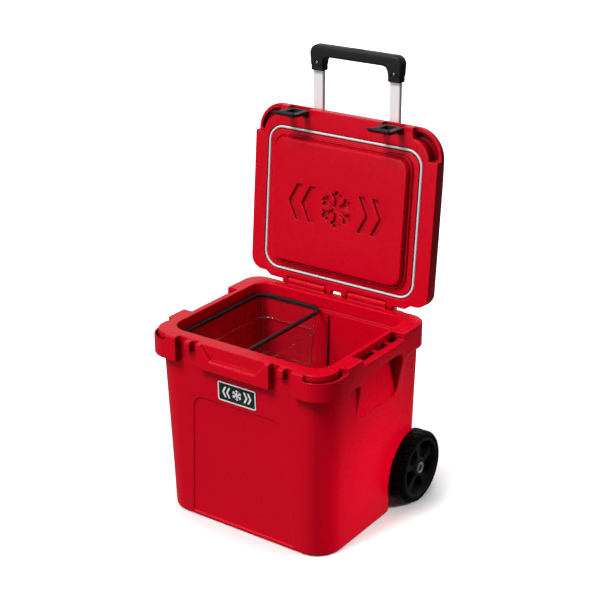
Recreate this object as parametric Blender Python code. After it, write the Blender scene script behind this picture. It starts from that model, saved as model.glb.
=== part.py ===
"""Wheeled hard cooler with a hinged lid, a telescoping handle and a lift-out bin.

Metres, +Z up. X runs across the width, the front is at -Y, and the origin is
the middle of the flat underside. The lid is modelled closed about its hinge
and stands open through its pivot empty.
"""

import math

import bmesh
import bpy

for old in list(bpy.data.objects):
    bpy.data.objects.remove(old, do_unlink=True)

GAP = 0.0003

# body
RIM_Z = 0.430
BASE_HALF, SIDE_DRAFT = 0.2128, 0.0245
FRONT_Y, FRONT_DRAFT = -0.1815, -0.0348
REAR_Y, REAR_DRAFT = 0.178, 0.0108
CORNER_FRONT, CORNER_REAR = 0.0578, 0.038
RIM_HALF, RIM_FRONT, RIM_REAR = 0.2335, -0.211, 0.184
RIM_CORNER_FRONT, RIM_CORNER_REAR = 0.055, 0.040
BAND_Z = 0.372
FLARE_Z, FLARE_TALL = 0.283, 0.117
WALL = 0.006
HUMP_HALF, HUMP_REAR = 0.135, 0.2292

# chamber
MOUTH_HALF, MOUTH_FRONT, MOUTH_REAR, MOUTH_CORNER = 0.194, -0.1695, 0.153, 0.036
LEDGE_Z, LEDGE = 0.3995, 0.0082
FLOOR_Z = 0.060
CHAMBER_DRAFT = 0.0235

# rim details
BAY_X, BAY_HALF, BAY_DEEP = 0.120, 0.0275, 0.016
STRAP_X, STRAP_Y = 0.178, -0.160
STRAP_IN, STRAP_OUT, STRAP_Z = 0.0435, 0.049, 0.4135

# wheels
WHEEL_Y, WHEEL_R = 0.1524, 0.0828
WHEEL_IN, WHEEL_OUT = 0.1998, 0.245
AXLE_R, ARCH_R, ARCH_X = 0.006, 0.0863, 0.196

# lid
HINGE_Y, HINGE_Z, BARREL_R, ROD_R = 0.178, 0.439, 0.0085, 0.003
LID_OPEN = math.radians(94.41)
LID_PLANE, LID_THICK, LID_SLOPE = 0.4303, 0.0365, 0.0055
LID_CORNER = 0.062
LID_HALF, LID_FRONT, LID_REAR, LID_REAR_CORNER = 0.2335, -0.220, 0.1765, 0.1667
CHANNEL_IN = (0.1666, -0.1524, 0.0444)  # centre x, centre y and radius of each channel wall
CHANNEL_OUT = (0.1740, -0.1580, 0.0520)
GASKET_HALF, GASKET_FRONT, GASKET_REAR, GASKET_CORNER = 0.1945, -0.1715, 0.1519, 0.035
PLUG_HALF, PLUG_FRONT, PLUG_REAR, PLUG_DEEP = 0.178, -0.1603, 0.1341, 0.016

# latches
LATCH_X, LATCH_Y, LATCH_Z = 0.120, -0.2119, 0.4355
LATCH_WIDE, LATCH_LONG, LATCH_THICK = 0.052, 0.0675, 0.005

# handle
POST_X, POST_Y = 0.0974, 0.2455
POST_W, POST_D = 0.0260, 0.0106
MID_W, MID_D = 0.0294, 0.0140
OUTER_W, OUTER_D = 0.0328, 0.0174
GRIP_Z = 0.971

# bin
BIN_LEFT, BIN_RIGHT, BIN_FRONT, BIN_REAR = -0.1855, -0.0185, -0.1605, 0.1435
BIN_FLOOR, BIN_WALL, BIN_CORNER = 0.262, 0.0025, 0.028

ARC = 6


def paint(name, color, roughness, metallic=0.0):
    mat = bpy.data.materials.new(name)
    mat.use_nodes = True
    shader = mat.node_tree.nodes["Principled BSDF"]
    shader.inputs["Base Color"].default_value = (*color, 1.0)
    shader.inputs["Roughness"].default_value = roughness
    shader.inputs["Metallic"].default_value = metallic
    return mat


RED = (0.58, 0.0, 0.012)
BLACK = (0.02, 0.021, 0.021)


def build(name, points, faces, mat, smooth=True, parent=None):
    """Mesh object from points and faces, with its normals turned out."""
    mesh = bpy.data.meshes.new(name)
    mesh.from_pydata([tuple(p) for p in points], [], faces)
    shape = bmesh.new()
    shape.from_mesh(mesh)
    bmesh.ops.remove_doubles(shape, verts=shape.verts, dist=1e-6)
    bmesh.ops.recalc_face_normals(shape, faces=shape.faces)
    shape.to_mesh(mesh)
    shape.free()
    obj = bpy.data.objects.new(name, mesh)
    bpy.context.scene.collection.objects.link(obj)
    if mat is not None:
        mesh.materials.append(mat)
    if smooth:
        mesh.shade_smooth()
        mesh.set_sharp_from_angle(angle=math.radians(35))
    if parent is not None:
        obj.parent = parent
    return obj


def stack(name, rings, mat, smooth=True, parent=None):
    """Solid through rings that all hold the same number of points."""
    count = len(rings[0])
    points = [p for ring in rings for p in ring]
    faces = []
    for level in range(len(rings) - 1):
        low, high = level * count, (level + 1) * count
        for i in range(count):
            j = (i + 1) % count
            faces.append((low + i, low + j, high + j, high + i))
    faces.append(tuple(reversed(range(count))))
    faces.append(tuple(range(len(points) - count, len(points))))
    return build(name, points, faces, mat, smooth, parent)


def prism(name, outline, axis, low, high, mat=None, parent=None):
    """Flat outline pushed along an axis; it holds (y, z), (x, z) or (x, y)."""

    def place(p, at):
        if axis == "x":
            return (at, p[0], p[1])
        if axis == "y":
            return (p[0], at, p[1])
        return (p[0], p[1], at)

    rings = [[place(p, at) for p in outline] for at in (low, high)]
    return stack(name, rings, mat, False, parent)


def box(name, x, y, z, mat=None, parent=None):
    outline = [(x[0], y[0]), (x[1], y[0]), (x[1], y[1]), (x[0], y[1])]
    return prism(name, outline, "z", z[0], z[1], mat, parent)


def circle(cx, cy, radius, count=24, start=0.0):
    turn = 2 * math.pi / count
    return [
        (cx + radius * math.cos(start + i * turn), cy + radius * math.sin(start + i * turn))
        for i in range(count)
    ]


def arc(cx, cy, radius, start, end, count):
    return [
        (
            cx + radius * math.cos(math.radians(start + (end - start) * i / count)),
            cy + radius * math.sin(math.radians(start + (end - start) * i / count)),
        )
        for i in range(count + 1)
    ]


def rounded(left, right, front, rear, r_front, r_rear=None, count=ARC):
    """Rounded rectangle in plan, turning from the front right corner."""
    back = r_front if r_rear is None else r_rear
    return (
        arc(right - r_front, front + r_front, r_front, -90, 0, count)
        + arc(right - back, rear - back, back, 0, 90, count)
        + arc(left + back, rear - back, back, 90, 180, count)
        + arc(left + r_front, front + r_front, r_front, 180, 270, count)
    )


def sector(cx, cy, inner, outer, start, end, count=8):
    return arc(cx, cy, outer, start, end, count) + arc(cx, cy, inner, end, start, count)


def turned(name, profile, axis, centre, mat, parent=None, count=32, start=0.0):
    """Profile of (radius, position along the axis) turned about that axis."""
    rings = []
    for i in range(count):
        angle = 2 * math.pi * (i + start) / count
        c, s = math.cos(angle), math.sin(angle)
        ring = []
        for radius, at in profile:
            if axis == "x":
                ring.append((centre[0] + at, centre[1] + radius * c, centre[2] + radius * s))
            elif axis == "y":
                ring.append((centre[0] + radius * c, centre[1] + at, centre[2] + radius * s))
            else:
                ring.append((centre[0] + radius * c, centre[1] + radius * s, centre[2] + at))
        rings.append(ring)
    size = len(profile)
    points = [p for ring in rings for p in ring]
    faces = []
    hollow = min(p[0] for p in profile) > 0
    for i in range(count):
        a, b = i * size, ((i + 1) % count) * size
        for k in range(size if hollow else size - 1):
            m = (k + 1) % size
            faces.append((a + k, b + k, b + m, a + m))
    return build(name, points, faces, mat, True, parent)


def helper(obj):
    obj.hide_render = True
    obj.hide_viewport = False
    obj.display_type = "WIRE"
    return obj


def combine(obj, other, operation):
    step = obj.modifiers.new(other.name, "BOOLEAN")
    step.operation = operation
    step.solver = "EXACT"
    step.object = helper(other)
    return obj


def cut(obj, *others):
    for other in others:
        combine(obj, other, "DIFFERENCE")
    return obj


def join(obj, *others):
    for other in others:
        combine(obj, other, "UNION")
    return obj


def bevel(obj, width, segments=2, angle=40):
    step = obj.modifiers.new("edges", "BEVEL")
    step.width = width
    step.segments = segments
    step.limit_method = "ANGLE"
    step.angle_limit = math.radians(angle)
    return obj


def smoothstep(t):
    t = min(max(t, 0.0), 1.0)
    return t * t * (3 - 2 * t)


def pivot(name, at, parent=None):
    empty = bpy.data.objects.new(name, None)
    bpy.context.scene.collection.objects.link(empty)
    empty.empty_display_size = 0.02
    empty.location = at
    if parent is not None:
        empty.parent = parent
    return empty


# ---------------------------------------------------------------- body shell

# distances from front to back at which every ring of the shell has a point
SIDE_STEPS = (-0.0885, -0.0840, -0.0790, 0.0, 0.0915, 0.0960, 0.1010, 0.1180)


def loop(half, front, rear, r_front, r_rear):
    """Plan outline of the shell, with extra points along its two sides."""
    y0, y1 = front + r_front, rear - r_rear
    side = [(half, y) for y in (y0, *SIDE_STEPS, y1)]
    left = [(-x, y) for x, y in reversed(side)]
    return (
        arc(half - r_front, y0, r_front, -90, 0, ARC)[:-1]
        + side
        + arc(half - r_rear, y1, r_rear, 0, 90, ARC)[1:]
        + arc(-half + r_rear, y1, r_rear, 90, 180, ARC)[:-1]
        + left
        + arc(-half + r_front, y0, r_front, 180, 270, ARC)[1:]
    )


def shell_loop(z, inset=0.0):
    return loop(
        BASE_HALF + SIDE_DRAFT * z - inset,
        FRONT_Y + FRONT_DRAFT * z + inset,
        REAR_Y + REAR_DRAFT * z - inset,
        CORNER_FRONT - inset,
        CORNER_REAR - inset,
    )


def rim_loop(inset=0.0):
    return loop(
        RIM_HALF - inset,
        RIM_FRONT + inset,
        RIM_REAR - inset,
        RIM_CORNER_FRONT - inset,
        RIM_CORNER_REAR - inset,
    )


def flare(y):
    """Where the rim starts to stand out, and over what height it does so."""
    share = smoothstep((y + 0.0885) / 0.0095)
    share -= 0.78 * smoothstep((y - 0.0915) / 0.0095) + 0.22 * smoothstep((y - 0.101) / 0.042)
    start = BAND_Z + (FLARE_Z - BAND_Z) * share
    return start, 0.003 + (FLARE_TALL - 0.003) * share


def body_outer(name, mat):
    rings = []
    for z, inset in ((0.0, 0.005), (0.0015, 0.0016), (0.005, 0.0)):
        rings.append([(x, y, z) for x, y in shell_loop(z, inset)])
    rim = rim_loop()
    for t in (0.0, 0.25, 0.5, 0.75, 1.0):
        ring = []
        for i, (rx, ry) in enumerate(rim):
            start, tall = flare(ry)
            z = start + tall * t
            bx, by = shell_loop(z)[i]
            k = smoothstep(t)
            ring.append((bx + (rx - bx) * k, by + (ry - by) * k, z))
        rings.append(ring)
    rings.append([(x, y, RIM_Z - 0.0035) for x, y in rim])
    rings.append([(x, y, RIM_Z - 0.001) for x, y in rim_loop(0.001)])
    rings.append([(x, y, RIM_Z) for x, y in rim_loop(0.0035)])
    return stack(name, rings, mat)


def chamber(name, grow=0.0, top=RIM_Z + 0.02):
    """The cold space, from its floor up through the ledge to the mouth."""
    rings = []
    tall = LEDGE_Z - FLOOR_Z
    for up, inset in ((0.0, 0.010), (0.003, 0.003), (0.010, 0.0), (tall, 0.0)):
        narrow = LEDGE + CHAMBER_DRAFT * (tall - up) + inset - grow
        z = FLOOR_Z + up + (0.0 if up == tall else -grow)
        rings.append((z, narrow))
    rings.append((LEDGE_Z, -grow))
    if grow == 0.0:
        rings.append((RIM_Z - 0.0015, 0.0))
        rings.append((RIM_Z + 0.0005, -0.002))
    rings.append((top, -0.002 - grow))
    out = []
    for z, narrow in rings:
        r = max(MOUTH_CORNER - narrow, 0.012)
        plan = rounded(
            -MOUTH_HALF + narrow,
            MOUTH_HALF - narrow,
            MOUTH_FRONT + narrow,
            MOUTH_REAR - narrow,
            r,
        )
        out.append([(x, y, z) for x, y in plan])
    return stack(name, out, None)


def arch_outline(grow=0.0):
    """Side view of a wheel arch: round over the wheel and open below."""
    r = ARCH_R + grow
    top = arc(WHEEL_Y, WHEEL_R, r, 0, 180, 16)
    return [(WHEEL_Y + r, -0.02)] + top + [(WHEEL_Y - r, -0.02)]


def foam_space(name, gap, mat):
    """Space between the outer skin and the chamber wall."""
    rings = []
    for z in (0.008 + gap, 0.270 - gap):
        rings.append([(x, y, z) for x, y in shell_loop(z, WALL + gap)])
    space = stack(name, rings, mat, False)
    cut(space, chamber(name + "_chamber", WALL + gap))
    for side in (-1, 1):
        tag = "left" if side < 0 else "right"
        edge = side * (ARCH_X - WALL - gap)
        lo, hi = sorted((edge, side * 0.30))
        arch = prism(f"{name}_arch_{tag}", arch_outline(WALL + gap), "x", lo, hi)
        cut(space, arch)
    axle = circle(WHEEL_Y, WHEEL_R, AXLE_R + WALL + gap, 12)
    cut(space, prism(name + "_axle", axle, "x", -0.25, 0.25))
    drain = circle(DRAIN_Y, DRAIN_Z, 0.0265 + gap, 16)
    cut(space, prism(name + "_drain", drain, "x", -0.25, -0.10))
    return space


DRAIN_Y, DRAIN_Z, DRAIN_R, DRAIN_POCKET = -0.060, 0.074, 0.011, 0.0215
PORT_Y, PORT_R = -0.085, 0.009

red = paint("body_red", RED, 0.42)
body = body_outer("body_shell", red)
hump = stack(
    "body_hump",
    [
        [(x, y, z) for x, y in rounded(-w, w, 0.16, HUMP_REAR - inset, 0.005, 0.02)]
        for z, inset, w in (
            (0.026, 0.012, HUMP_HALF - 0.010),
            (0.034, 0.0, HUMP_HALF),
            (0.396, 0.0, HUMP_HALF),
            (0.404, 0.008, HUMP_HALF - 0.006),
        )
    ],
    None,
)
join(body, hump)

for side in (-1, 1):
    tag = "left" if side < 0 else "right"
    lo, hi = sorted((side * 0.031, side * 0.130))
    knuckle = arc(HINGE_Y, HINGE_Z, BARREL_R, -10, 190, 10)
    knuckle += [(HINGE_Y - BARREL_R, 0.42), (HINGE_Y + BARREL_R, 0.398)]
    join(body, prism("knuckle_" + tag, knuckle, "x", lo, hi))

cut(body, chamber("chamber_cutter"))

for side in (-1, 1):
    tag = "left" if side < 0 else "right"

    # wheel arch
    lo, hi = sorted((side * ARCH_X, side * 0.30))
    cut(body, prism("arch_" + tag, arch_outline(), "x", lo, hi))

    # latch bay and the catch inside it
    lo, hi = sorted((side * (BAY_X - BAY_HALF), side * (BAY_X + BAY_HALF)))
    cut(body, box("bay_" + tag, (lo, hi), (-0.25, RIM_FRONT + BAY_DEEP), (0.36, 0.45)))
    catch = [
        (RIM_FRONT + BAY_DEEP + 0.004, 0.397),
        (RIM_FRONT + BAY_DEEP + 0.004, 0.427),
        (RIM_FRONT + 0.005, 0.427),
        (RIM_FRONT + 0.003, 0.424),
        (RIM_FRONT + 0.003, 0.408),
    ]
    mid = side * 0.119
    join(body, prism("catch_" + tag, catch, "x", mid - 0.0073, mid + 0.0073))

    # tie-down slot round the front corner
    plan = sector(STRAP_X, STRAP_Y, STRAP_IN, STRAP_OUT, -92, 30, 8)
    plan = [(side * x, y) for x, y in plan]
    cut(body, prism("slot_" + tag, plan, "z", 0.36, 0.45))
    plan = sector(STRAP_X, STRAP_Y, STRAP_IN, 0.075, -92, 30, 8)
    plan = [(side * x, y) for x, y in plan]
    cut(body, prism("strap_" + tag, plan, "z", STRAP_Z, 0.45))

    # step and trough along the side rim
    lo, hi = sorted((side * 0.2045, side * 0.26))
    cut(body, box("step_" + tag, (lo, hi), (-0.078, 0.080), (0.4145, 0.45)))
    lo, hi = sorted((side * 0.2045, side * 0.2165))
    edges = (-0.0775, -0.060, -0.048, -0.006, 0.006, 0.044, 0.056, 0.0795)
    for start, end in ((edges[1], edges[3]), (edges[4], edges[5]), (edges[6], edges[7])):
        name = f"trough_{tag}_{round(1000 * end)}"
        cut(body, box(name, (lo, hi), (start, end), (0.398, 0.42)))

    # hand hold
    grip = [
        (-0.080, 0.372), (-0.080, 0.311), (-0.066, 0.288), (0.064, 0.288), (0.080, 0.304),
        (0.080, 0.374), (0.066, 0.388), (-0.064, 0.388),
    ]
    # its inner wall starts flush at the bottom and runs in under the rim
    rings = [
        [(side * (0.2192 - 0.145 * (z - 0.288)), y * 0.97, z) for y, z in grip],
        [(side * 0.26, y, z) for y, z in grip],
    ]
    cut(body, stack("hold_" + tag, rings, None))

# finger scoop in the middle of the front rim
scoop = [(-0.080, 0.45), (-0.080, 0.428), (-0.058, 0.400), (0.058, 0.400)]
scoop += [(0.080, 0.428), (0.080, 0.45)]
cut(body, prism("scoop", scoop, "y", -0.25, RIM_FRONT + 0.008))

# shallow panel in the front face
panel = [(-0.1345, 0.009), (0.1345, 0.009), (0.1185, 0.262)]
panel += arc(0.0915, 0.271, 0.027, 10, 90, 6)
panel += arc(-0.0915, 0.271, 0.027, 90, 170, 6) + [(-0.1185, 0.262)]
near = [(x, -0.27, z) for x, z in panel]
deep = [(x, FRONT_Y + FRONT_DRAFT * z + 0.0025, z) for x, z in panel]
cut(body, stack("front_panel", [near, deep], None))

# badge seat
BADGE_Z, BADGE_W, BADGE_H, BADGE_T = 0.331, 0.098, 0.0445, 0.0022
badge_y = FRONT_Y + FRONT_DRAFT * BADGE_Z


def badge_plate(name, grow, near_y, far_y, mat):
    w, h = BADGE_W / 2 + grow, BADGE_H / 2 + grow
    plan = rounded(-w, w, -h, h, 0.005 + grow, None, 4)
    rings = []
    for off in (near_y, far_y):
        ring = [(x, badge_y + FRONT_DRAFT * z + off, BADGE_Z + z) for x, z in plan]
        rings.append(ring)
    return stack(name, rings, mat)


cut(body, badge_plate("badge_seat", 0.0004, -0.01, 0.0012, None))
badge = badge_plate(
    "badge_plate", 0.0, 0.0009 - BADGE_T, 0.0009, paint("badge_black", (0.01, 0.02, 0.018), 0.5)
)

# divider grooves in the front and rear chamber walls
cut(body, box("divider_front", (-0.0035, 0.0035), (-0.166, -0.120), (0.075, 0.392)))
cut(body, box("divider_rear", (-0.0035, 0.0035), (0.120, 0.1485), (0.075, 0.392)))

# axle bore, drain, foam port, foot recesses
cut(body, prism("axle_bore", circle(WHEEL_Y, WHEEL_R, AXLE_R + GAP, 16), "x", -0.21, 0.21))
drain = circle(DRAIN_Y, DRAIN_Z, DRAIN_R + GAP, 20)
cut(body, prism("drain_bore", drain, "x", -0.25, -0.10))
drain = circle(DRAIN_Y, DRAIN_Z, DRAIN_POCKET, 24)
cut(body, prism("drain_pocket", drain, "x", -0.25, -0.2045))
for side in (-1, 1):
    tag = "left" if side < 0 else "right"
    plan = rounded(side * 0.14 - 0.0303, side * 0.14 + 0.0303, -0.1553, -0.1247, 0.006, None, 3)
    cut(body, prism("foot_seat_" + tag, plan, "z", -0.01, 0.004))
    plan = rounded(side * 0.14 - 0.030, side * 0.14 + 0.030, -0.155, -0.125, 0.0057, None, 3)
    foot = prism("foot_pad_" + tag, plan, "z", 0.0, 0.0037, paint("foot_" + tag, BLACK, 0.8))

cut(body, foam_space("foam_cutter", 0.0, None))
cut(body, prism("foam_port", circle(0, PORT_Y, PORT_R, 16), "z", -0.01, 0.012))
foam = foam_space("body_insulation", GAP, paint("foam_body", (0.75, 0.68, 0.5), 0.9))
turned(
    "foam_port_plug",
    [(0.0, 0.0), (PORT_R - GAP, 0.0), (PORT_R - GAP, 0.0072), (0.0, 0.0072)],
    "z",
    (0, PORT_Y, 0.0004),
    paint("plug_black", BLACK, 0.7),
    None,
    16,
)

# ---------------------------------------------------------------- drain plug

drain_pivot = pivot("drain_pivot", (-0.2146, DRAIN_Y, DRAIN_Z))
turned(
    "drain_plug",
    [
        (0.0, 0.0006),
        (0.0185, 0.0006),
        (0.0185, 0.0080),
        (DRAIN_R - GAP, 0.0080),
        (DRAIN_R - GAP, 0.0262),
        (0.0, 0.0262),
    ],
    "x",
    (0, 0, 0),
    paint("drain_black", BLACK, 0.6),
    drain_pivot,
    24,
)
grip_bar = bpy.data.objects["drain_plug"]
for side in (-1, 1):
    lo, hi = sorted((side * 0.0035, side * 0.020))
    notch = box(f"drain_notch_{side + 2}", (-0.003, 0.0042), (lo, hi), (-0.012, 0.012))
    notch.parent = drain_pivot
    cut(grip_bar, notch)
turned(
    "drain_seal",
    [(DRAIN_R + 0.0006, 0.0083), (0.0175, 0.0083), (0.0175, 0.0098), (DRAIN_R + 0.0006, 0.0098)],
    "x",
    (-0.2146, DRAIN_Y, DRAIN_Z),
    paint("seal_grey", (0.4, 0.4, 0.4), 0.7),
    None,
    24,
)

# ---------------------------------------------------------------- lid

lid_pivot = pivot("lid_pivot", (0, HINGE_Y, HINGE_Z))
lid_pivot.rotation_euler = (-LID_OPEN, 0, 0)


def local(points):
    """Closed-lid coordinates about the hinge."""
    return [(x, y - HINGE_Y, z - HINGE_Z) for x, y, z in points]


def lid_top(y):
    return LID_PLANE + LID_THICK - LID_SLOPE * smoothstep((-0.10 - y) / 0.12)


def lid_outline(inset):
    """Plan of the closed lid, front corner round, rear edge stepped."""
    r = LID_CORNER - inset
    right = arc(LID_HALF - LID_CORNER, LID_FRONT + LID_CORNER, r, -90, 0, 8)
    right += [(LID_HALF - inset, -0.10), (LID_HALF - inset, 0.06)]
    right += arc(LID_HALF - 0.030, LID_REAR_CORNER - 0.030, 0.030 - inset, 0, 90, 5)
    rear = LID_REAR - inset
    right += [(0.192, LID_REAR_CORNER - inset), (0.178 - 0.4 * inset, rear), (0.100, rear)]
    return right + [(-x, y) for x, y in reversed(right)]


rings = []
for up, inset in ((0.0, 0.0015), (0.0015, 0.0), (-0.0095, 0.0), (-0.005, 0.0014)):
    base = up if up >= 0 else None
    plan = lid_outline(inset)
    rings.append(
        local([(x, y, LID_PLANE + up if up >= 0 else lid_top(y) + up) for x, y in plan])
    )
for down, inset in ((0.0017, 0.0045), (0.0, 0.010)):
    rings.append(local([(x, y, lid_top(y) - down) for x, y in lid_outline(inset)]))
lid = stack("lid_shell", rings, paint("lid_red", RED, 0.42), True, lid_pivot)


def lid_tool(obj):
    obj.parent = lid_pivot
    return obj


def lid_ring(left_right, front, rear, corner, half_wide, low, high, name, mat=None):
    """Closed bead of rectangular section that runs round the lid's inner face."""
    outer = rounded(
        -left_right - half_wide,
        left_right + half_wide,
        front - half_wide,
        rear + half_wide,
        corner + half_wide,
    )
    inner = rounded(
        -left_right + half_wide,
        left_right - half_wide,
        front + half_wide,
        rear - half_wide,
        corner - half_wide,
    )
    return frame_solid(name, outer, inner, low, high, mat, lid_pivot, (HINGE_Y, HINGE_Z))


def frame_solid(name, outer, inner, low, high, mat, parent=None, shift=(0.0, 0.0)):
    """Ring with a flat section between two outlines of equal length."""
    count = len(outer)
    rows = []
    for plan, z in ((outer, low), (outer, high), (inner, high), (inner, low)):
        rows.append([(x, y - shift[0], z - shift[1]) for x, y in plan])
    points = [p for row in rows for p in row]
    faces = []
    for level in range(4):
        a, b = level * count, ((level + 1) % 4) * count
        for i in range(count):
            j = (i + 1) % count
            faces.append((a + i, a + j, b + j, b + i))
    return build(name, points, faces, mat, True, parent)


# plug that drops into the mouth
rings = []
for z, inset in (
    (LID_PLANE + 0.006, 0.0),
    (LID_PLANE, 0.0),
    (LID_PLANE - PLUG_DEEP + 0.003, 0.0035),
    (LID_PLANE - PLUG_DEEP, 0.007),
):
    plan = rounded(
        -PLUG_HALF + inset, PLUG_HALF - inset, PLUG_FRONT + inset, PLUG_REAR - inset, 0.030
    )
    rings.append(local([(x, y, z) for x, y in plan]))
join(lid, lid_tool(stack("lid_plug", rings, None)))

for at in (0.0195, 0.139):
    for side in (-1, 1):
        tag = f"{round(at * 1000)}_{side + 2}"
        mid = side * at
        lug = arc(0, 0, BARREL_R, -90, 90, 10) + [(-0.02, BARREL_R), (-0.02, -BARREL_R)]
        join(lid, lid_tool(prism("lug_" + tag, lug, "x", mid - 0.006, mid + 0.006)))

for side in (-1, 1):
    tag = "left" if side < 0 else "right"

    # gap for the body knuckle
    lo, hi = sorted((side * 0.0290, side * 0.1325))
    cut(lid, lid_tool(box("knuckle_gap_" + tag, (lo, hi), (-0.0105, 0.03), (-0.03, 0.06))))

    # latch notch
    lo, hi = sorted((side * (LATCH_X - 0.0268), side * (LATCH_X + 0.0268)))
    y = (-0.25 - HINGE_Y, -0.2030 - HINGE_Y)
    cut(lid, lid_tool(box("latch_gap_" + tag, (lo, hi), y, (-0.03, 0.4475 - HINGE_Z))))

    # channel at the front corner, closed at its back, with a lower step outside it
    for part, reach, deep in (("slot", CHANNEL_OUT[2], 0.0255), ("step", 0.11, 0.014)):
        plan = arc(CHANNEL_OUT[0], CHANNEL_OUT[1], reach, -96, 0, 8) + arc(*CHANNEL_IN, -2, -84, 8)
        plan = [(side * x, y - HINGE_Y) for x, y in plan]
        high = LID_PLANE + deep - HINGE_Z
        cut(lid, lid_tool(prism(f"lid_{part}_{tag}", plan, "z", -0.03, high)))

groove = lid_ring(
    GASKET_HALF, GASKET_FRONT, GASKET_REAR, GASKET_CORNER, 0.0035,
    LID_PLANE - 0.004, LID_PLANE + 0.005, "gasket_groove",
)
cut(lid, groove)
lid_ring(
    GASKET_HALF, GASKET_FRONT, GASKET_REAR, GASKET_CORNER, 0.0027,
    LID_PLANE + 0.0001, LID_PLANE + 0.0047, "lid_gasket", paint("gasket_grey", (0.8, 0.8, 0.8), 0.5),
)

# debossed mark in the middle of the plug: a snowflake between pairs of chevrons
MARK_Y = (PLUG_FRONT + PLUG_REAR) / 2 - 0.002


def motif():
    """Outlines of the mark, one list of points per stroke."""
    strokes = []
    for turn in (30, 90, 150):
        strokes.append((0.0805, 0.0095, turn, 0.0, 0.0))
    for turn in range(30, 390, 60):
        x = 0.0245 * math.cos(math.radians(turn))
        y = 0.0245 * math.sin(math.radians(turn))
        for bend in (-52, 52):
            away = turn + bend
            dx = 0.0070 * math.cos(math.radians(away))
            dy = 0.0070 * math.sin(math.radians(away))
            strokes.append((0.0165, 0.0060, away, x + dx, y + dy))
    out = []
    for long, wide, turn, x, y in strokes:
        c, s = math.cos(math.radians(turn)), math.sin(math.radians(turn))
        plan = rounded(-long / 2, long / 2, -wide / 2, wide / 2, 0.0015, None, 1)
        out.append([(x + a * c - b * s, y + a * s + b * c) for a, b in plan])
    for side in (-1, 1):
        for x in (0.0560, 0.0900):
            arrow = [(x, 0.0400), (x + 0.0150, 0.0400), (x + 0.0350, 0.0), (x + 0.0150, -0.0400)]
            arrow += [(x, -0.0400), (x + 0.0200, 0.0)]
            out.append([(side * a, b) for a, b in arrow])
    return out


for k, stroke in enumerate(motif()):
    plan = [(x, MARK_Y - HINGE_Y + y) for x, y in stroke]
    low = LID_PLANE - PLUG_DEEP - HINGE_Z
    cut(lid, lid_tool(prism(f"mark_{k}", plan, "z", low - 0.01, low + 0.004)))


def lid_space(name, gap, mat):
    plan = rounded(-0.203 + gap, 0.203 - gap, -0.187 + gap, 0.148 - gap, 0.042 - gap)
    rings = [
        local([(x, y, z) for x, y in plan]) for z in (0.4393 + gap, 0.4570 - gap)
    ]
    return stack(name, rings, mat, False, lid_pivot)


cut(lid, lid_space("lid_foam_cutter", 0.0, None))
port = circle(0.160, 0.4480 - HINGE_Z, 0.006, 14)
cut(lid, lid_tool(prism("lid_port", port, "y", 0.140 - HINGE_Y, 0.03)))
lid_space("lid_insulation", GAP, paint("foam_lid", (0.75, 0.68, 0.5), 0.9))
turned(
    "lid_port_plug",
    [(0.0, 0.0), (0.0057, 0.0), (0.0057, 0.022), (0.0, 0.022)],
    "y",
    (0.160, 0.1535 - HINGE_Y, 0.4480 - HINGE_Z),
    paint("lid_plug_red", RED, 0.5),
    lid_pivot,
    14,
)

# hinge rods: one through each body knuckle and its two lugs
for side in (-1, 1):
    tag = "left" if side < 0 else "right"
    mid = side * 0.0795
    bore = circle(0, 0, ROD_R + GAP, 14)
    start, end = mid - 0.0650, mid + 0.0650
    cut(lid, lid_tool(prism("rod_bore_" + tag, bore, "x", start, end)))
    bore = circle(HINGE_Y, HINGE_Z, ROD_R + GAP, 14)
    cut(body, prism("rod_hole_" + tag, bore, "x", start, end))
    rod = [(0.0, -0.0645), (ROD_R, -0.0645), (ROD_R, 0.0645), (0.0, 0.0645)]
    steel = paint("rod_steel_" + tag, (0.6, 0.6, 0.6), 0.3, 1.0)
    turned("hinge_rod_" + tag, rod, "x", (mid, HINGE_Y, HINGE_Z), steel, None, 14)

# ---------------------------------------------------------------- latches

for side in (-1, 1):
    tag = "left" if side < 0 else "right"
    mid = side * LATCH_X
    latch_pivot = pivot(
        "latch_pivot_" + tag, (mid, LATCH_Y - HINGE_Y, LATCH_Z - HINGE_Z), lid_pivot
    )
    half = LATCH_WIDE / 2
    profile = arc(0, 0, 0.0042, 0, 180, 8)
    profile += [(-0.0042, -0.010), (-0.0022, -LATCH_LONG + 0.012)]
    profile += [(-0.0072, -LATCH_LONG), (-0.0030, -LATCH_LONG - 0.001)]
    profile += [(0.0044, -LATCH_LONG + 0.010), (0.0044, -0.010)]
    plate = prism(
        "latch_" + tag, profile, "x", -half, half, paint("latch_" + tag, BLACK, 0.55), latch_pivot
    )
    window = box("window_" + tag, (-0.0125, 0.0125), (-0.02, 0.02), (-0.0395, -0.0065))
    bore = prism("latch_bore_" + tag, circle(0, 0, 0.0021, 12), "x", -0.04, 0.04)
    for start in (-0.0260, 0.0180):
        cheek = box(f"cheek_{tag}", (start, start + 0.0080), (0.0030, 0.0105), (-0.0160, -0.0060))
        cheek.parent = latch_pivot
        join(plate, cheek)
    for tool in (window, bore):
        tool.parent = latch_pivot
        cut(plate, tool)
    centre = (mid, LATCH_Y - HINGE_Y, LATCH_Z - HINGE_Z)
    pin_hole = circle(centre[1], centre[2], 0.0021, 12)
    hole = prism("pin_hole_" + tag, pin_hole, "x", mid - 0.0315, mid + 0.0315)
    cut(lid, lid_tool(hole))
    pin = [(0.0, -0.031), (0.0018, -0.031), (0.0018, 0.031), (0.0, 0.031)]
    steel = paint("pin_steel_" + tag, (0.6, 0.6, 0.6), 0.3, 1.0)
    turned("latch_pin_" + tag, pin, "x", centre, steel, lid_pivot, 12)

# ---------------------------------------------------------------- wheels

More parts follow.
